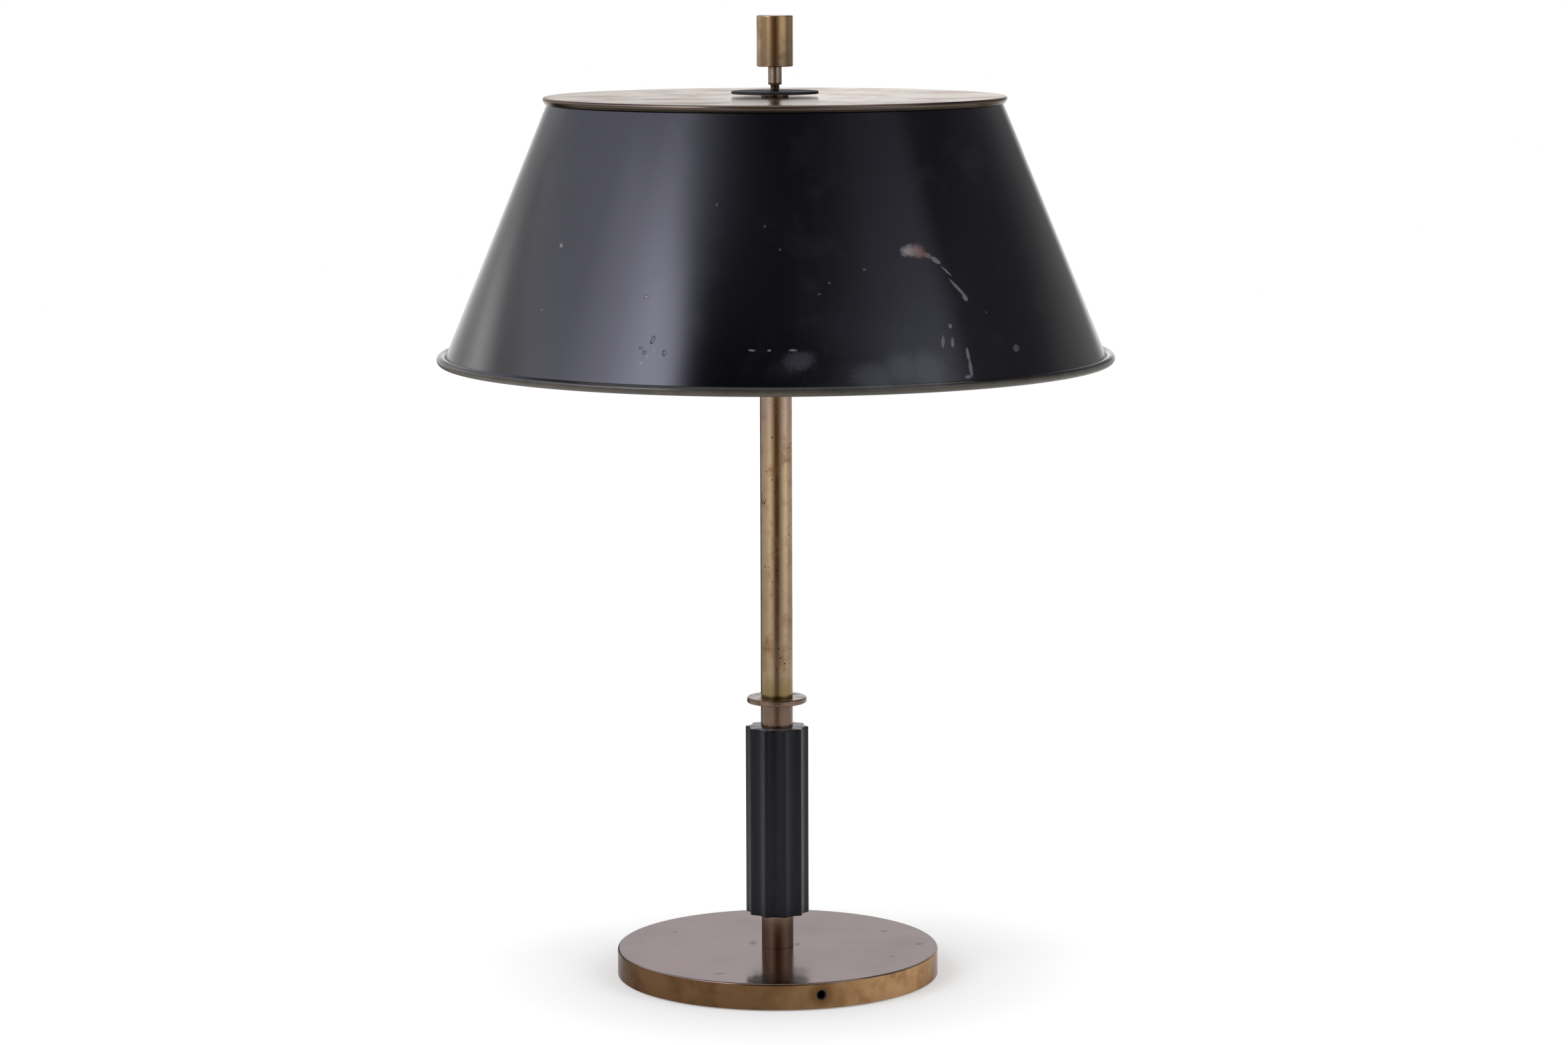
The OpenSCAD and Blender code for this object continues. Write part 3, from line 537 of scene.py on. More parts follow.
# Glazed porcelain: white with a slight cream cast and a hard gloss
glazed_porcelain, tree, mm = start("glazed_porcelain")
body = noise(tree, mm, 4.0, 3.0)
colour = mix(tree, body, "#dcd7c8", "#f1eee4")
ripple = bump(tree, 0.1, 0.0003, body)
surface(tree, colour, 0.12, ripple, more={"IOR": 1.52})

# Rubber insulation of the cores: brown and matt, with a trace of its cloth impression
lead_rubber, tree, mm = start("vulcanised_rubber")
cloth = noise(tree, mm, 0.5, 3.0)
colour = mix(tree, cloth, "#3a1f10", "#5f3a22")
print_ = bump(tree, 0.4, 0.0001, cloth)
surface(tree, colour, 0.65, print_)

box_r, box_top, lid_top = 22.0, 366.0, 368.5
box = turned("head_cup", rounded([
    (tube_hole, stem_top, 0), (box_r, stem_top, 1.2), (box_r, box_top, 0.25), (20.5, box_top, 0),
    (20.5, 342, 0.8), (tube_hole, 342, 0)]), count=128)
fit(box, "stand", "head_brass", head_brass, "head_box")
for side, place in at_holder.items():
    stub = turned("head_stub_" + side, sleeve(5.0, 7.0, 19, 30, 0, 0.5), place, 64)
    fit(stub, "stand", "head_brass", head_brass)
lid = turned("head_lid_spun", rounded([
    (4.0, box_top, 0), (18.9, box_top, 0), (18.9, 363, 0), (20.4, 363, 0.3), (20.4, box_top, 0),
    (box_r, box_top, 0.2), (box_r, lid_top, 0.8), (4.0, lid_top, 0)]), count=128)
fit(lid, "stand", "head_brass", head_brass, "head_lid")
for k, turn in enumerate((pi / 2, -pi / 2)):
    place = outward(turn, 364.5)
    screw = turned(f"lid_screw_{k + 1}", rounded([
        (0, 18.9, 0), (1.0, 18.9, 0), (1.0, 22.0, 0), (2.0, 22.0, 0.15), (2.0, 23.4, 0.9), (0, 23.4, 0)]),
        place, 40)
    fit(screw, "stand", "nut_brass", nut_brass, "lid_screws")
dress("junction_block", glazed_porcelain)
for node in ("lead_pair_left", "lead_pair_right"):
    dress(node, lead_rubber)

# ---- Lampholders ----
# Each is a pressed brass cap and barrel round a porcelain core, with a zinc-plated screw shell
# and a middle contact for the bulb. The barrel has a rolled bead at its back and fine grooves at its mouth.

holder_r = 19.0
cap_s, barrel_s, mouth_s = 30.0, 44.0, 82.0  # distances along a holder's axis
key_s = 51.0
bend_r = 10.0

# Pressed brass under the shade: dull gold with brown clouds and specks
holder_brass, tree, mm = start("pressed_brass_dull")
colour, aged = patina(tree, mm, "#b09059", "#71552f", 11.0, (0.42, 0.7), 0.9, 0.7)
dull = ramp(tree, aged, 0, 1, 0.24, 0.45)
wobble = noise(tree, mm, 8.0, 2.0)
dent = bump(tree, 0.1, 0.0006, wobble)
surface(tree, colour, dull, dent, metal=1.0)


def arc(r, z, radius, first, last, steps):
    """Points round (r, z) at the given radius, from angle `first` to `last` in degrees."""
    a = np.radians(np.linspace(first, last, steps + 1))
    return np.stack([r + radius * np.cos(a), z + radius * np.sin(a)], axis=1)


cap_outline = np.vstack([
    [[5.0, cap_s]], arc(holder_r - bend_r, cap_s + bend_r, bend_r, -90, 0, 16),
    [[holder_r, barrel_s], [holder_r - 1, barrel_s]],
    arc(holder_r - bend_r, cap_s + bend_r, bend_r - 1, 0, -90, 16), [[5.0, cap_s + 1]]])
barrel_outline = rounded([
    (holder_r - 1, barrel_s, 0), (holder_r + 0.7, barrel_s, 0.8), (holder_r + 0.7, barrel_s + 2, 0.8),
    (holder_r, barrel_s + 2, 0.1), (holder_r, 74.0, 0.2), (holder_r - 0.35, 74.6, 0.2), (holder_r, 75.2, 0.2),
    (holder_r, 77.0, 0.2), (holder_r - 0.35, 77.6, 0.2), (holder_r, 78.2, 0.2), (holder_r, mouth_s, 0.9),
    (13.5, mouth_s, 0.3), (13.5, mouth_s - 1.5, 0), (holder_r - 1, mouth_s - 1.5, 0)])
at_key = outward(0, key_s)
for side, place in at_holder.items():
    cap = turned("holder_cap_pressed_" + side, cap_outline, place, 128)
    fit(cap, "stand", "holder_brass", holder_brass, "holder_cap_" + side)
    barrel = turned("holder_barrel_pressed_" + side, barrel_outline, place, 160)
    drill(barrel, place @ at_key, 2.58, 15, 25)
    fit(barrel, "stand", "holder_brass", holder_brass, "holder_barrel_" + side)
    dress("porcelain_" + side, glazed_porcelain)
    dress("screw_shell_" + side, zinc_steel)
    dress("contact_" + side, nut_brass)

# ---- Switch keys ----
# A flat wing of dark brown phenolic resin, moulded with its hub on a spindle that turns
# the switch's rotor inside the porcelain.

# Compression-moulded phenolic resin: deep brown, faintly marbled, glossy from the mould
key_resin, tree, mm = start("moulded_brown_phenolic")
flow = add(tree, "TexNoise", {"Vector": mm, "Scale": 1 / 4.0, "Detail": 4.0, "Distortion": 1.2})
colour = mix(tree, flow, "#1c0d07", "#46261a")
dull = ramp(tree, flow, 0.3, 0.7, 0.2, 0.32)
surface(tree, colour, dull, more={"IOR": 1.55})

hub_x = holder_r + 0.4
wing_x = hub_x + 3.0
key_outline = rounded([
    (0, 4, 0), (1.75, 4, 0), (1.75, 9, 0), (2.5, 9, 0.2), (2.5, hub_x, 0), (4.5, hub_x, 0.4),
    (4.5, wing_x, 0.6), (0, wing_x, 0)])
wing_outline = rounded([
    (2.9, wing_x - 1.5, 0), (2.95, wing_x, 0), (8.5, wing_x, 5.4), (8.5, wing_x + 11, 5.4),
    (-8.5, wing_x + 11, 5.4), (-8.5, wing_x, 5.4), (-2.95, wing_x, 0), (-2.9, wing_x - 1.5, 0)], 14)


def wing(outline, half, roll):
    """A flat wing: its outline is drawn in at both faces by a quarter circle of radius `roll`, and each face
    closes on one point in the middle."""
    middle = outline.mean(axis=0)
    reach = np.hypot(*(outline - middle).T)[:, None]
    a = np.linspace(-pi / 2, pi / 2, 13)
    inset = roll * (1 - np.cos(a))
    across = np.sign(a) * (half - roll) + roll * np.sin(a)
    rows = [middle + (outline - middle) * (1 - d / reach) for d in inset]
    point = [np.repeat(middle[None], len(outline), 0)]
    rows = point + rows + point
    across = [-half, *across, half]
    return np.array([np.column_stack([0 * row[:, 0] + x, row[:, 0], row[:, 1]])
                     for row, x in zip(rows, across)])


for side, place in at_holder.items():
    spindle = turned(f"key_{side}_spindle", key_outline, place @ at_key, 64)
    fit(spindle, "key_" + side, "key_resin", key_resin, "switch_key_" + side)
    blade = skin(f"key_{side}_wing", wing(wing_outline, 2.0, 1.2), place @ at_key, ring=False)
    fit(blade, "key_" + side, "key_resin", key_resin)
    dress("switch_rotor_" + side, key_resin)

# ---- Bulbs ----
# Two round opal bulbs of 45 mm, each with a rolled screw cap.
# They point outwards and a little up, and the shade hides them.

# Opal glass: milky all through, with a smooth fire-polished skin
opal_glass, tree, mm = start("blown_opal_glass")
milk = noise(tree, mm, 18.0, 2.0)
colour = mix(tree, milk, "#e6e2d6", "#f4f2ea")
surface(tree, colour, 0.1, more={"IOR": 1.5, "Subsurface Weight": 0.3, "Subsurface Scale": 0.004})

# Rolled aluminium: bright, with a soft smear along the thread
cap_metal, tree, mm = start("rolled_aluminium")
smear = noise(tree, mm, 2.0, 4.0)
colour = mix(tree, smear, "#a9aaab", "#d8d8d6")
dull = ramp(tree, smear, 0.3, 0.7, 0.25, 0.42)
surface(tree, colour, dull, metal=1.0)


def threaded(name, z, r, depth, pitch, place=Matrix(), count=64):
    """A rod with a screw thread: at height z and angle a its radius is r less depth times half of
    1 - cos of the thread's turn, which is z over the pitch less a's share of a turn. Both ends close on
    a pole."""
    a = angles(count)
    wave = (1 - np.cos(2 * pi * (z[:, None] / pitch) - a)) / 2
    radius = np.maximum(r[:, None] - depth[:, None] * wave, 0)
    return skin(name, circle(radius, a, z[:, None]), place, ring=False)


bulb_s, glass_s, ball_s, ball_r = 62.0, 87.0, 112.5, 22.5
start_angle = np.degrees(asin(12.6 / ball_r)) - 90
inner_angle = np.degrees(asin(11.8 / (ball_r - 0.8))) - 90
glass_outline = np.vstack([
    [[11.8, glass_s], [12.6, glass_s]], arc(0, ball_s, ball_r, start_angle, 90, 40),
    arc(0, ball_s, ball_r - 0.8, 90, inner_angle, 40)])
glass_outline[:, 0] = np.maximum(glass_outline[:, 0], 0)
s = np.concatenate([
    [bulb_s, bulb_s, 63.0, 66.0, 67.0], np.linspace(67.4, 86.0, 80), [86.6, 89.0, 89.0, 69.0, 69.0]])
cap_r = np.interp(np.arange(len(s)), [0, 1, 2, 3, 4, 84, 85, 86, 87, 88, 89],
                  [0, 4.5, 5.0, 11.2, 13.2, 13.2, 13.2, 13.2, 12.7, 12.7, 0])
cap_depth = np.where((s > 67.2) & (s < 85.9) & (np.arange(len(s)) < 86), 0.7, 0.0)
for side, place in at_holder.items():
    glass = turned("bulb_ball_" + side, glass_outline, place, 128)
    fit(glass, "stand", "bulb_glass", opal_glass, "bulb_glass_" + side)
    cap = threaded("bulb_thread_" + side, s, cap_r, cap_depth, 3.63, place)
    fit(cap, "stand", "bulb_metal", cap_metal, "bulb_cap_" + side)

# ---- Shade rod ----
# A drawn brass rod clamped in the lid by two hexagonal nuts. A washer on its shoulder
# carries the shade, and the thin threaded end above takes the finial.

# Drawn brass rod: plain and dull, with brown clouds and specks
rod_brass, tree, mm = start("drawn_brass_rod")
colour, aged = patina(tree, mm, "#83715f", "#4e4034", 6.0, (0.4, 0.66), 0.7, 0.68)
dull = ramp(tree, aged, 0, 1, 0.24, 0.42)
surface(tree, colour, dull, metal=1.0)


def hexagon(name, flats, bore, low, high):
    """A nut: at angle a its side lies at half the flats over cos of a's distance from the middle of its flat,
    and a cone at each end cuts the six corners."""
    a = angles(96)
    side = flats / 2 / np.cos((a + pi / 6) % (pi / 3) - pi / 6)
    cone = [flats / 2 * 0.96, flats / 2 * 1.02, flats / 2 * 1.09, flats]
    ups = [0, 0.03 * flats, 0.07 * flats, 0.1 * flats]
    rows = [(low, bore + 0 * a)] + [(low + up, np.minimum(side, c)) for up, c in zip(ups, cone)]
    rows += [(high - up, np.minimum(side, c)) for up, c in reversed(list(zip(ups, cone)))]
    rows += [(high, bore + 0 * a)]
    return skin(name, np.array([circle(r, a, z) for z, r in rows]))


seat_z, shade_top = 459.1, 460.3  # under and over the washer
z = np.concatenate([
    [361.4, 361.4, 361.6], np.arange(361.8, 376.0, 0.2), [376.4, 459.0, seat_z, seat_z, 459.2],
    np.arange(459.3, 477.6, 0.12), [477.8, 478.0, 478.0]])
low_end, top_end = z < 376.2, z > 459.15
rod_r = np.where(z < 459.15, 4.0, 2.5)
rod_r[[0, -1]] = 0
rod_r[[1, -2]] -= 0.3
shoulder = np.flatnonzero(np.isclose(z, seat_z))
rod_r[shoulder[1]] = 2.5
depth = np.where(low_end, 0.5, np.where(top_end, 0.4, 0.0))
depth[[0, 1, -1, -2]] = 0
pitch_of = np.where(z < 400, 1.25, 0.8)
rod = threaded("shade_rod_drawn", z, rod_r, depth, pitch_of[:, None], count=48)
fit(rod, "stand", "rod_brass", rod_brass, "shade_rod")
for name, low, high in (("rod_nut_low", 362.4, box_top), ("rod_nut_top", lid_top, 372.1)):
    nut = hexagon(name, 13.0, 3.6, low, high)
    fit(nut, "stand", "nut_brass", nut_brass, "rod_nuts")
rod_hole = 2.58
washer = turned("shade_washer", sleeve(rod_hole, 17.0, seat_z, shade_top, 0.5, 0.3))
fit(washer, "stand", "nut_brass", nut_brass, "seat_washer")

# ---- Shade ----
# A cone of sheet steel, its lower edge curled outwards over a wire and its upper edge
# turned in. Black lacquer outside, much handled, and white enamel inside to throw the light down.

shade_low = 326.9
top_r, low_r = 116.3, 171.3
sheet = 0.8
lean = np.arctan((low_r - top_r) / (shade_top - shade_low))
roll_r = 2.4
roll_mid = low_r + (roll_r - sheet) / np.cos(lean)
roll_start = 180 + np.degrees(lean)
roll_stop = roll_start + 360 - np.degrees(acos((roll_r - sheet - 0.15) / roll_r))

# Black stoving lacquer on sheet steel: a deep, slightly blue gloss, clouded where hands have been, with chips
# down to the red primer, thin scratches, and a worn olive brown edge. Pale patches low on the front right are
# a painted reflection, and the marked clouds are real haze that is also painted paler as painted reflection.
shade_lacquer, tree, mm = start("black_lacquer_on_sheet_steel")
cone_mean = 145.0  # radius at which a mark's place round the cone is measured
x, y, z = axes(tree, mm)
back = calc(tree, "MULTIPLY", y, -1.0)
turn = calc(tree, "ARCTAN2", x, back)
along = calc(tree, "MULTIPLY", turn, cone_mean)
spread = add(tree, "CombineXYZ", {0: along, 1: z})
degree = cone_mean * pi / 180
chips = marks(tree, spread, 1.0, [
    (27.2, 391, 6.0, 3.2, 4), (28.6, 390.6, 4.6, 3.8, -20), (30.4, 388.8, 3.6, 1.6, -24),
    (-47, 392, 1.5, 1.3, 0), (-24, 370, 1.3, 0.8, 0)], degree, 0.7)
scratches = marks(tree, spread, 0.3, [
    (32.2, 386, 3.0, 1.3, -34), (34.1, 380.8, 3.6, 0.5, -46), (35.9, 372, 6.2, 0.9, -50),
    (36.9, 367.6, 1.8, 1.3, -50), (32.2, 354.8, 1.1, 1.2, 0), (30, 347.5, 1.0, 3.2, -14),
    (31.9, 347, 0.9, 2.6, -14), (34.5, 341, 0.9, 3.4, -4), (34.4, 334.5, 0.9, 4.4, -6),
    (33.5, 330.6, 1.8, 0.8, 0), (-4, 346, 1.5, 0.5, 0), (-1, 346, 0.9, 0.5, 0), (3, 346, 1.8, 0.5, 0)],
    degree)
specks = marks(tree, spread, 0.3, [
    (-2, 404, 0.7, 0.6, 0), (1, 393, 0.6, 0.6, 0), (17, 383, 0.9, 0.6, 0), (10, 377, 0.7, 0.6, 0),
    (-12, 414, 0.7, 0.8, 0), (-22, 342, 0.8, 0.8, 0), (-23, 339, 0.7, 0.8, 0), (-21, 345, 0.5, 0.7, 0),
    (-47, 361, 1.0, 0.7, 0), (8, 372, 1.1, 0.4, 20), (41, 360, 0.6, 0.6, 0), (45.8, 342, 2.2, 1.8, 30)],
    degree)
pits = marks(tree, spread, 0.3, [
    (-21.4, 350, 0.8, 1.9, -20), (-22.6, 344, 0.9, 0.9, 0), (-19, 344, 0.9, 1.2, 0),
    (-23.4, 346, 0.7, 0.7, 0)], degree)
# Painted reflection: pale patches low on the front right stand for a light mirrored in the lacquer.
pale_patches = marks(tree, spread, 1.8, [
    (21.5, 336, 10.5, 10.0, 0), (26, 335, 11.0, 11.5, 0), (16.5, 333, 12.5, 8.0, 0), (4, 341, 8.5, 5.5, 10)],
    degree, 0.8)
# Marked clouds: rougher haze, and also painted paler as a painted reflection.
marked_haze_and_painted_reflection = marks(tree, spread, 4.0, [
    (10, 356, 20.0, 14.0, -20), (-30, 404, 14.0, 12.0, 30), (22, 350, 14.0, 10.0, 0),
    (3, 338, 12.0, 8.0, 0)], degree, 1.1)
cloud = noise(tree, mm, 26.0, 7.0, 0.6)
haze_and_painted_reflection = ramp(tree, cloud, 0.5, 0.8, 0, 0.5, smooth=True)
haze_and_painted_reflection = calc(tree, "MULTIPLY_ADD", marked_haze_and_painted_reflection, 0.35, haze_and_painted_reflection)
soft = ramp(tree, pale_patches, 0, 1, 0, 0.95, smooth=True)
fine = noise(tree, mm, 1.6, 5.0, 0.7)
colour = mix(tree, haze_and_painted_reflection, "#05060a", "#222229")
colour = mix(tree, soft, colour, "#36373e")
out = vector(tree, "LENGTH", add(tree, "CombineXYZ", {0: x, 1: y}))
slope = calc(tree, "MULTIPLY_ADD", z, tan(lean), out)
edge_line = top_r + shade_top * tan(lean)
on_edge = ramp(tree, slope, edge_line + 0.8, edge_line + 2.2)
lower = ramp(tree, z, shade_low + 1.8, shade_low - 0.4)
on_edge = calc(tree, "MULTIPLY", on_edge, lower)
wear = noise(tree, mm, 13.0, 6.0, 0.7)
olive = mix(tree, wear, "#191814", "#7c7565")
under = ramp(tree, z, shade_low - roll_r + 0.9, shade_low - roll_r + 0.3)
red = ramp(tree, wear, 0.5, 0.62)
red = calc(tree, "MULTIPLY", red, under)
olive = mix(tree, red, olive, "#5c2a20")
colour = mix(tree, on_edge, colour, olive)
drift = calc(tree, "MULTIPLY_ADD", fine, 16.0, along)
redder = ramp(tree, drift, 27.4 * degree + 4, 27.4 * degree + 12)
primer = mix(tree, redder, "#918a8b", "#6b5455")
colour = mix(tree, chips, colour, primer)
colour = mix(tree, scratches, colour, "#656469")
faint = calc(tree, "MULTIPLY", specks, 0.4)
colour = mix(tree, faint, colour, "#737278")
damage = calc(tree, "MAXIMUM", chips, scratches)
smear = calc(tree, "MULTIPLY", fine, haze_and_painted_reflection)
dull = ramp(tree, smear, 0.0, 0.6, 0.11, 0.3)
dull = calc(tree, "MULTIPLY_ADD", damage, 0.4, dull)
dull = calc(tree, "MULTIPLY_ADD", on_edge, 0.25, dull)
sway = noise(tree, mm, 60.0, 1.0)
dent = bump(tree, 0.15, 0.001, sway)
depth = calc(tree, "MAXIMUM", damage, pits)
hole = add(tree, "Bump", {"Strength": 0.6, "Distance": 0.0002, "Height": depth, "Normal": dent},
           invert=True)
surface(tree, colour, dull, hole)

# White vitreous enamel inside: cream white, orange-peel gloss, a little smoky in broad clouds
shade_enamel, tree, mm = start("white_enamel")
peel = noise(tree, mm, 2.5, 2.0)
smoke = noise(tree, mm, 40.0, 4.0)
colour = mix(tree, smoke, "#d9d3c4", "#efece2")
skin_bump = bump(tree, 0.15, 0.0003, peel)
surface(tree, colour, 0.3, skin_bump)

wall = sheet / np.cos(lean)
inner_top = [top_r + sheet * tan(lean) - wall, shade_top - sheet]
inside = np.vstack([[[top_r - 6, shade_top - sheet], inner_top],
                    np.linspace([inner_top[0] + 0.6 * tan(lean), inner_top[1] - 0.6],
                                [low_r - wall - 0.3 * tan(lean), shade_low + 0.3], 12)])
curl = np.vstack([arc(roll_mid, shade_low, roll_r, roll_start, roll_stop, 64),
                  arc(roll_mid, shade_low, roll_r - sheet, roll_stop, roll_start, 64)])
outside = np.vstack([
    np.linspace([low_r - 0.3 * tan(lean), shade_low + 0.3], [top_r + 0.6 * tan(lean), shade_top - 0.6], 12),
    [[top_r, shade_top], [top_r - 6, shade_top]]])
shade = turned("shade_spun", np.vstack([inside, curl, outside]), count=360)
fit(shade, "shade", "shade_lacquer", shade_lacquer, "shade_cone")
shade.data.materials.append(shade_enamel)
faces = shade.data.polygons
centre = np.zeros(len(faces) * 3)
faces.foreach_get("center", centre)
centre = centre.reshape(-1, 3) * 1000
gap = np.hypot(centre[:, 0], centre[:, 1]) - (top_r + (shade_top - centre[:, 2]) * tan(lean))
white = (gap < -0.5 * wall) & (centre[:, 2] > shade_low) & (centre[:, 2] < shade_top - 0.5 * sheet)
faces.foreach_set("material_index", white.astype(np.int32))

# ---- Top plate, hub and disc ----
# The shade is closed by a polished brass plate whose edge is hemmed over the cone. A small brass hub
# and a black lacquered disc lie in its middle under the finial.

# Polished brass, pale: a soft mirror with swirls from wiping. The pale top and the brown edge are painted as
# lit and shaded copies of the brass, and the front and the hem's lower part are darkened with painted shade
plate_brass, tree, mm = start("polished_brass_plate")
colour, aged = patina(tree, mm, "#dccdba", "#c6b198", 35.0, (0.4, 0.7), 1.2, 0.76)
flat = vector(tree, "MULTIPLY", mm, (1, 1, 0))
out = vector(tree, "LENGTH", flat)
x, y, z = axes(tree, mm)
# Painted shade: the plate is painted darker towards its front edge, where a faintly domed plate would mirror
# less light.
uneven = noise(tree, mm, 30.0, 3.0)
held = calc(tree, "MULTIPLY_ADD", uneven, 30.0, y)
held = ramp(tree, held, -20.0, -105.0, 0, 0.7, smooth=True)
colour = mix(tree, held, colour, "#6b6059")
# Painted shading: the hem's rounded edge is painted brown against the pale top, a shaded copy of the same
# brass.
rim = ramp(tree, out, 117.4, 119.0, smooth=True)
colour = mix(tree, rim, colour, "#6d6157")
# Painted shadow: the hem's lower part is painted nearly black.
painted_shadow_under_hem = ramp(tree, z, 460.4, 458.6, 0, 0.92)
colour = mix(tree, painted_shadow_under_hem, colour, "#1d1917")
dull = ramp(tree, aged, 0, 1, 0.14, 0.24)
surface(tree, colour, dull, metal=1.0, more={"Specular Tint": linear("#e0d8d0")})

# Black lacquer on the disc: thin, satin, rubbed in patches
disc_lacquer, tree, mm = start("black_lacquered_disc")
rub = noise(tree, mm, 6.0, 5.0)
colour = mix(tree, rub, "#090809", "#201e1d")
dull = ramp(tree, rub, 0.3, 0.7, 0.5, 0.68)
surface(tree, colour, dull, more={"Specular IOR Level": 0.3})

plate_r, plate_top = 119.5, 461.3
disc_low, disc_top = 462.5, 464.0
hem_low, hem_r = plate_top - 3.4, 1.2
hem_in = top_r + (shade_top - hem_low) * tan(lean) + 0.1
plate = turned("top_plate_spun", np.vstack([
    [[rod_hole, shade_top], [hem_in - 0.3, shade_top], [hem_in, shade_top], [hem_in, hem_low]],
    [[hem_in + 0.9, hem_low]], arc(plate_r - hem_r, plate_top - hem_r, hem_r, -30, 90, 20),
    [[plate_r - hem_r - 0.4, plate_top], [60.0, plate_top], [rod_hole, plate_top]]]), count=360)
fit(plate, "shade", "top_brass", plate_brass, "top_plate")
disc = turned("top_disc_turned", sleeve(rod_hole, 22.5, disc_low, disc_top, 0.5, 0.5), count=160)
fit(disc, "shade", "disc_lacquer", disc_lacquer, "top_disc")

# ---- Finial ----
# A plain cylinder turned from brass bar with a thinner neck, bored and tapped for the rod.
# A thin ring of vulcanised fibre under it keeps it from working loose.

# Turned brass gone bronze: dark film, greyer towards the knob's foot and grey on the neck and hub, fine tool
# rings
finial_brass, tree, mm = start("turned_brass_bronzed")
colour, aged = patina(tree, mm, "#a98c69", "#775a3b", 12.0, (0.45, 0.8), 0.7, 0.7)
height = axes(tree, mm)[2]
low_down = ramp(tree, height, 476.6, 475.0, 0, 0.8)
greyer = ramp(tree, height, 498.0, 478.0, 0, 0.6)
colour = mix(tree, greyer, colour, "#80705f")
colour = mix(tree, low_down, colour, "#93877d")
dull = ramp(tree, aged, 0, 1, 0.2, 0.38)
tool = stretched(tree, mm, (0.1, 0.1, 3.0), 2.0)
cut = bump(tree, 0.12, 0.0001, tool)
surface(tree, colour, dull, cut, metal=1.0)

# Vulcanised fibre: red-brown, matt, laid in thin layers
hard_fibre, tree, mm = start("vulcanised_fibre")
ply = stretched(tree, mm, (0.4, 0.4, 8.0), 3.0)
colour = mix(tree, ply, "#2c160d", "#5a3420")
surface(tree, colour, 0.7)

ring_top, lamp_top = 468.0, 502.6
hub = turned("top_hub_turned", sleeve(rod_hole, 7.0, plate_top, disc_low, 0.2, 0.3), count=96)
fit(hub, "shade", "finial_brass", finial_brass, "top_hub")
ring = turned("finial_ring_fibre", sleeve(rod_hole, 3.45, 467.2, ring_top, 0.2, 0.2), count=48)
fit(ring, "finial_ring", "fibre", hard_fibre, "finial_ring")
knob = turned("finial_turned", rounded([
    (rod_hole, ring_top, 0), (3.55, ring_top, 0.15), (3.55, 476.5, 0.3), (9.35, 476.5, 0.5),
    (9.35, lamp_top, 0.5), (0, lamp_top, 0), (0, 483.0, 0), (rod_hole, 483.0, 0)]), count=160)
fit(knob, "finial", "finial_brass", finial_brass, "finial")

# ---- Studio ----
# A pale floor that fades into white, soft light from the left and right, and darkness in front painted for
# reflections only, on a drum and on the floor, which the polished metal and the lacquer show.

floor_radius = 4.0
a = angles(96)
r = np.array([0.0, 0.3, 0.8, 1.6, floor_radius])[:, None] * 1000
floor = skin("floor", circle(r, -a, 0 * r - 0.2), ring=False)


def sight(tree):
    """The kinds of ray, and whether a ray comes from the camera, a reflection or through glass."""
    path = add(tree, "LightPath").outputs
    seen = calc(tree, "MAXIMUM", path["Is Camera Ray"], path["Is Glossy Ray"])
    return path, calc(tree, "MAXIMUM", seen, path["Is Transmission Ray"])


material, tree, mm = start("pale_paper")
path, seen = sight(tree)
away = vector(tree, "LENGTH", mm)
far = ramp(tree, away, 150.0, 900.0, smooth=True)
near = ramp(tree, away, 85.0, 250.0, 0.34, 0.6)
share = ramp(tree, away, 250.0, 900.0, 0.0, 0.42)
share = calc(tree, "ADD", near, share)
glow = calc(tree, "MULTIPLY", seen, share)
paper = mix(tree, far, "#e1e1e3", "#3c3c3c")
# Painted reflection: only reflections see the floor darkened before the camera and in a strip behind on the
# left.
aim = vector(tree, "NORMALIZE", mm)
before = vector(tree, "DOT_PRODUCT", aim, (0, -1, 0))
before = ramp(tree, before, 0.92, 0.985)
reach = ramp(tree, away, 300.0, 900.0)
before = calc(tree, "MULTIPLY", before, reach)
behind = vector(tree, "DOT_PRODUCT", aim, (-0.47, 0.883, 0))
behind = ramp(tree, behind, 0.9, 0.95)
cloth = calc(tree, "MAXIMUM", before, behind)
cloth = calc(tree, "MULTIPLY", cloth, path["Is Glossy Ray"])
tint = mix(tree, cloth, "#ffffff", "#3c2a1c")
surface(tree, paper, 0.9, more={"Specular IOR Level": 0.0, "Emission Color": tint, "Emission Strength": glow})
material.cycles.emission_sampling = "NONE"
floor.data.materials.append(material)


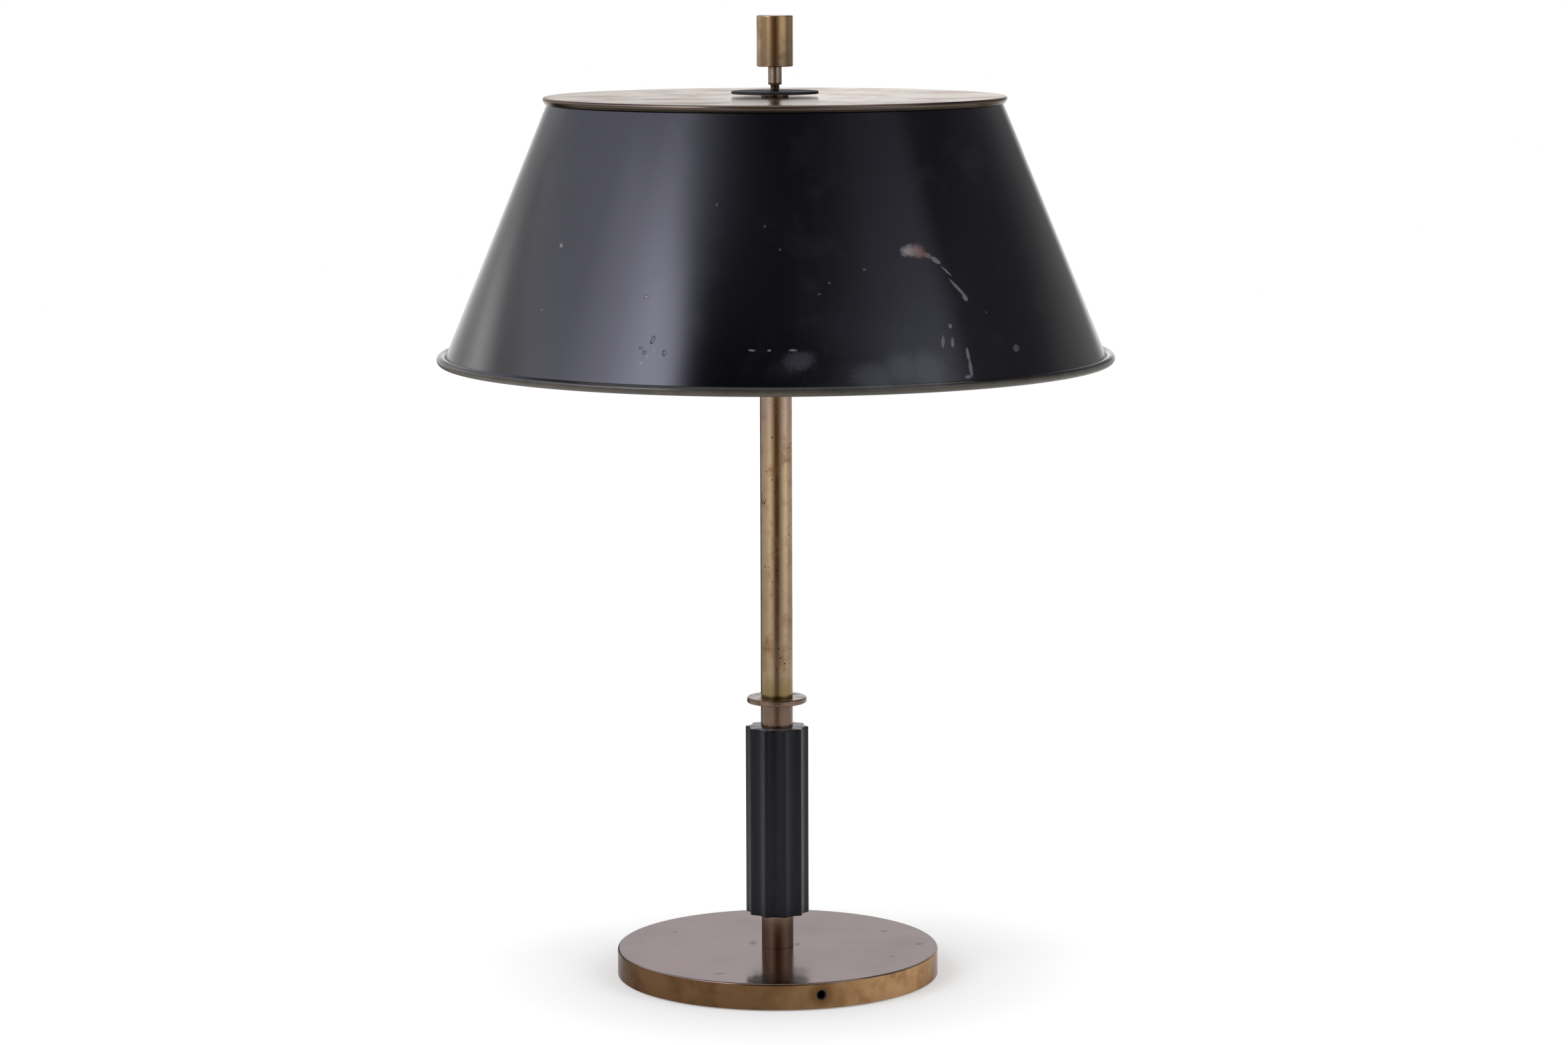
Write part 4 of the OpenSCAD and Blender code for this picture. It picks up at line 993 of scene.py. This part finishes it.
def curtain(name, radius, azimuths, heights, glow):
    """Part of a drum round the lamp that only reflections see. glow gives its brightness from the azimuth,
    counted in degrees from the camera towards the right, and the height in metres."""
    azimuth = np.linspace(*azimuths, 181)
    height = np.linspace(*heights, 41)[:, None]
    a = np.radians(azimuth)
    points = np.stack([radius * np.sin(a) + 0 * height, -radius * np.cos(a) + 0 * height, height + 0 * a],
                      axis=-1) * 1000
    ids = np.arange(points.shape[0] * points.shape[1]).reshape(points.shape[:2])
    quads = np.stack([ids[:-1, :-1], ids[1:, :-1], ids[1:, 1:], ids[:-1, 1:]], axis=-1).reshape(-1, 4)
    mesh = bpy.data.meshes.new(name)
    mesh.from_pydata((points.reshape(-1, 3) * 0.001).tolist(), [], quads.tolist())
    value = mesh.attributes.new("glow", "FLOAT", "POINT")
    value.data.foreach_set("value", (glow(azimuth, height) + 0 * height * azimuth).ravel().astype(np.float32))
    drum = put(name, mesh)
    for kind in ("camera", "diffuse", "transmission", "volume_scatter", "shadow"):
        setattr(drum, "visible_" + kind, False)
    material, tree = blank(name)
    level = add(tree, "Attribute", attribute_name="glow")
    up = axes(tree, add(tree, "TexCoord").outputs["Object"])[2]
    high = ramp(tree, up, 0.55, 0.8)
    aim = vector(tree, "MULTIPLY", add(tree, "TexCoord").outputs["Object"], (1, 1, 0))
    aim = vector(tree, "NORMALIZE", aim)
    before = vector(tree, "DOT_PRODUCT", aim, (0, -1, 0))
    before = ramp(tree, before, 0.93, 0.98)
    tint = mix(tree, before, "#ffffff", "#ffd18a")
    tint = mix(tree, high, tint, "#e8e7ff")
    light = add(tree, "Emission", {"Color": tint, "Strength": level.outputs["Fac"]})
    add(tree, "OutputMaterial", {"Surface": light})
    material.cycles.emission_sampling = "NONE"
    mesh.materials.append(material)


def studio_glow(azimuth, height):
    """Brightness round the lamp in three bands. Up to a third of a metre lies a pale floor sweep, dark
    only before the camera and in a strip behind on the left. At half a metre stand narrow panels. Above them
    hang a big soft panel on the left and a weak one on the right, brighter towards their lower edges, with
    dark cloth between. Two pale cards before the camera show in the back views only."""
    low = np.interp(azimuth, [-180, -150, -130, -120, -75, -46, -25, -5, 15, 32, 55, 72, 95, 140, 155, 180],
                    [1.0, 1.0, 0.5, 0.5, 0.65, 0.95, 0.5, 0.07, 0.06, 0.35, 0.8, 1.0, 0.6, 0.5, 1.0, 1.0])
    strip = np.interp(azimuth, [-170, -163, -138, -130], [0, 0.9, 0.9, 0])
    low = low * (1 - strip * np.clip((0.26 - height) / 0.06, 0, 1))
    middle = np.interp(
        azimuth, [-180, -165, -150, -112, -84, -60, -39, -19, 0, 19, 39, 60, 84, 112, 150, 165, 180],
        [1.15, 0.92, 0.62, 0.45, 0.6, 0.38, 0.82, 0.3, 0.08, 0.28, 1.0, 1.0, 0.28, 0.48, 0.22, 1.1, 1.25])
    panel = np.interp(azimuth, [-180, -140, -125, -100, -79, -60, -47], [0.9, 0.8, 0.72, 1.4, 2.1, 3.9, 6.4])
    edge = np.interp(height, [0.95, 1.03], [-34.5, -37.0])
    softness = np.interp(height, [0.93, 1.04, 1.13], [1.8, 4.2, 9.0])
    panel = panel * np.exp(-5 * np.clip(height - 0.95, 0, 0.3)) / (1 + np.exp((azimuth - edge) / softness))
    weak = np.interp(azimuth, [0, 15, 25, 40, 51, 62, 72, 87, 107, 128, 147, 163, 180],
                     [0.0, 0.06, 0.2, 0.46, 0.5, 0.44, 0.1, 0.07, 0.055, 0.07, 0.11, 0.3, 0.45])
    weak = weak * np.exp(-7 * np.clip(height - 1, -0.15, 0.1))
    high = panel + weak + np.interp(height, [0.94, 1.0, 1.07, 1.15], [0.02, 0.12, 0.14, 0.09])
    middle = middle * np.clip(1 - 3 * (height - 0.47), 0.6, 1.3)
    to_middle = np.clip((height - 0.32) / 0.08, 0, 1)
    to_high = np.clip((height - 0.55) / 0.12, 0, 1)
    card = 0.45 * np.clip(2 - np.abs(azimuth) / 35, 0, 1) * (
        np.clip(1.5 - np.abs(height - 0.285) / 0.06, 0, 1) + np.clip(1.5 - np.abs(height - 0.7) / 0.08, 0, 1))
    lobe = 1.6 * np.exp(-((azimuth + 117) / 15) ** 2 - ((height - 0.52) / 0.06) ** 2)
    around = (low * (1 - to_middle) + middle * to_middle) * (1 - to_high) + high * to_high + lobe
    return np.maximum(around, card)


curtain("studio_drum", 0.95, (-180.0, 180.0), (0.0, 1.6), studio_glow)


def lamp(name, place, target, size, power):
    """A soft rectangular lamp that faces its target. Its own reflection is left to the drum."""
    light = bpy.data.lights.new(name, "AREA")
    light.shape = "RECTANGLE"
    light.size, light.size_y = size
    light.energy = power
    holder = put(name, light)
    aim = Vector(place) - Vector(target)
    holder.matrix_world = Matrix.Translation(place) @ aim.to_track_quat("Z", "Y").to_matrix().to_4x4()
    holder.visible_glossy = False


lamp("left_panel", (-1.3, -0.9, 1.3), (0, 0, 0.25), (1.4, 1.2), 16.0)
lamp("right_panel", (1.4, -0.7, 1.2), (0, 0, 0.25), (1.0, 1.2), 8.0)
lamp("top_panel", (0, 0.2, 2.2), (0, 0, 0.2), (1.8, 1.8), 14.0)

world = bpy.data.worlds.new("white_room")
bpy.context.scene.world = world
world.use_nodes = True
tree = world.node_tree
tree.nodes.clear()
path, seen = sight(tree)
level = ramp(tree, seen, 0, 1, 0.35, 1.0)
sky = add(tree, "Background", {"Color": (1, 1, 1, 1), "Strength": level})
add(tree, "OutputWorld", {"Surface": sky})
world.cycles.sampling_method = "NONE"

eye = bpy.data.cameras.new("camera")
eye.lens = 98.43
eye.sensor_width = 36.0
camera = put("camera", eye)
camera.matrix_world = (Matrix.Translation((0.0040, -2.2141, 0.5473)) @ Matrix.Rotation(pi / 2 - 0.138, 4, "X")
                       @ Matrix.Rotation(-0.003, 4, "Z"))
bpy.context.scene.camera = camera
bpy.context.scene.view_settings.view_transform = "Standard"
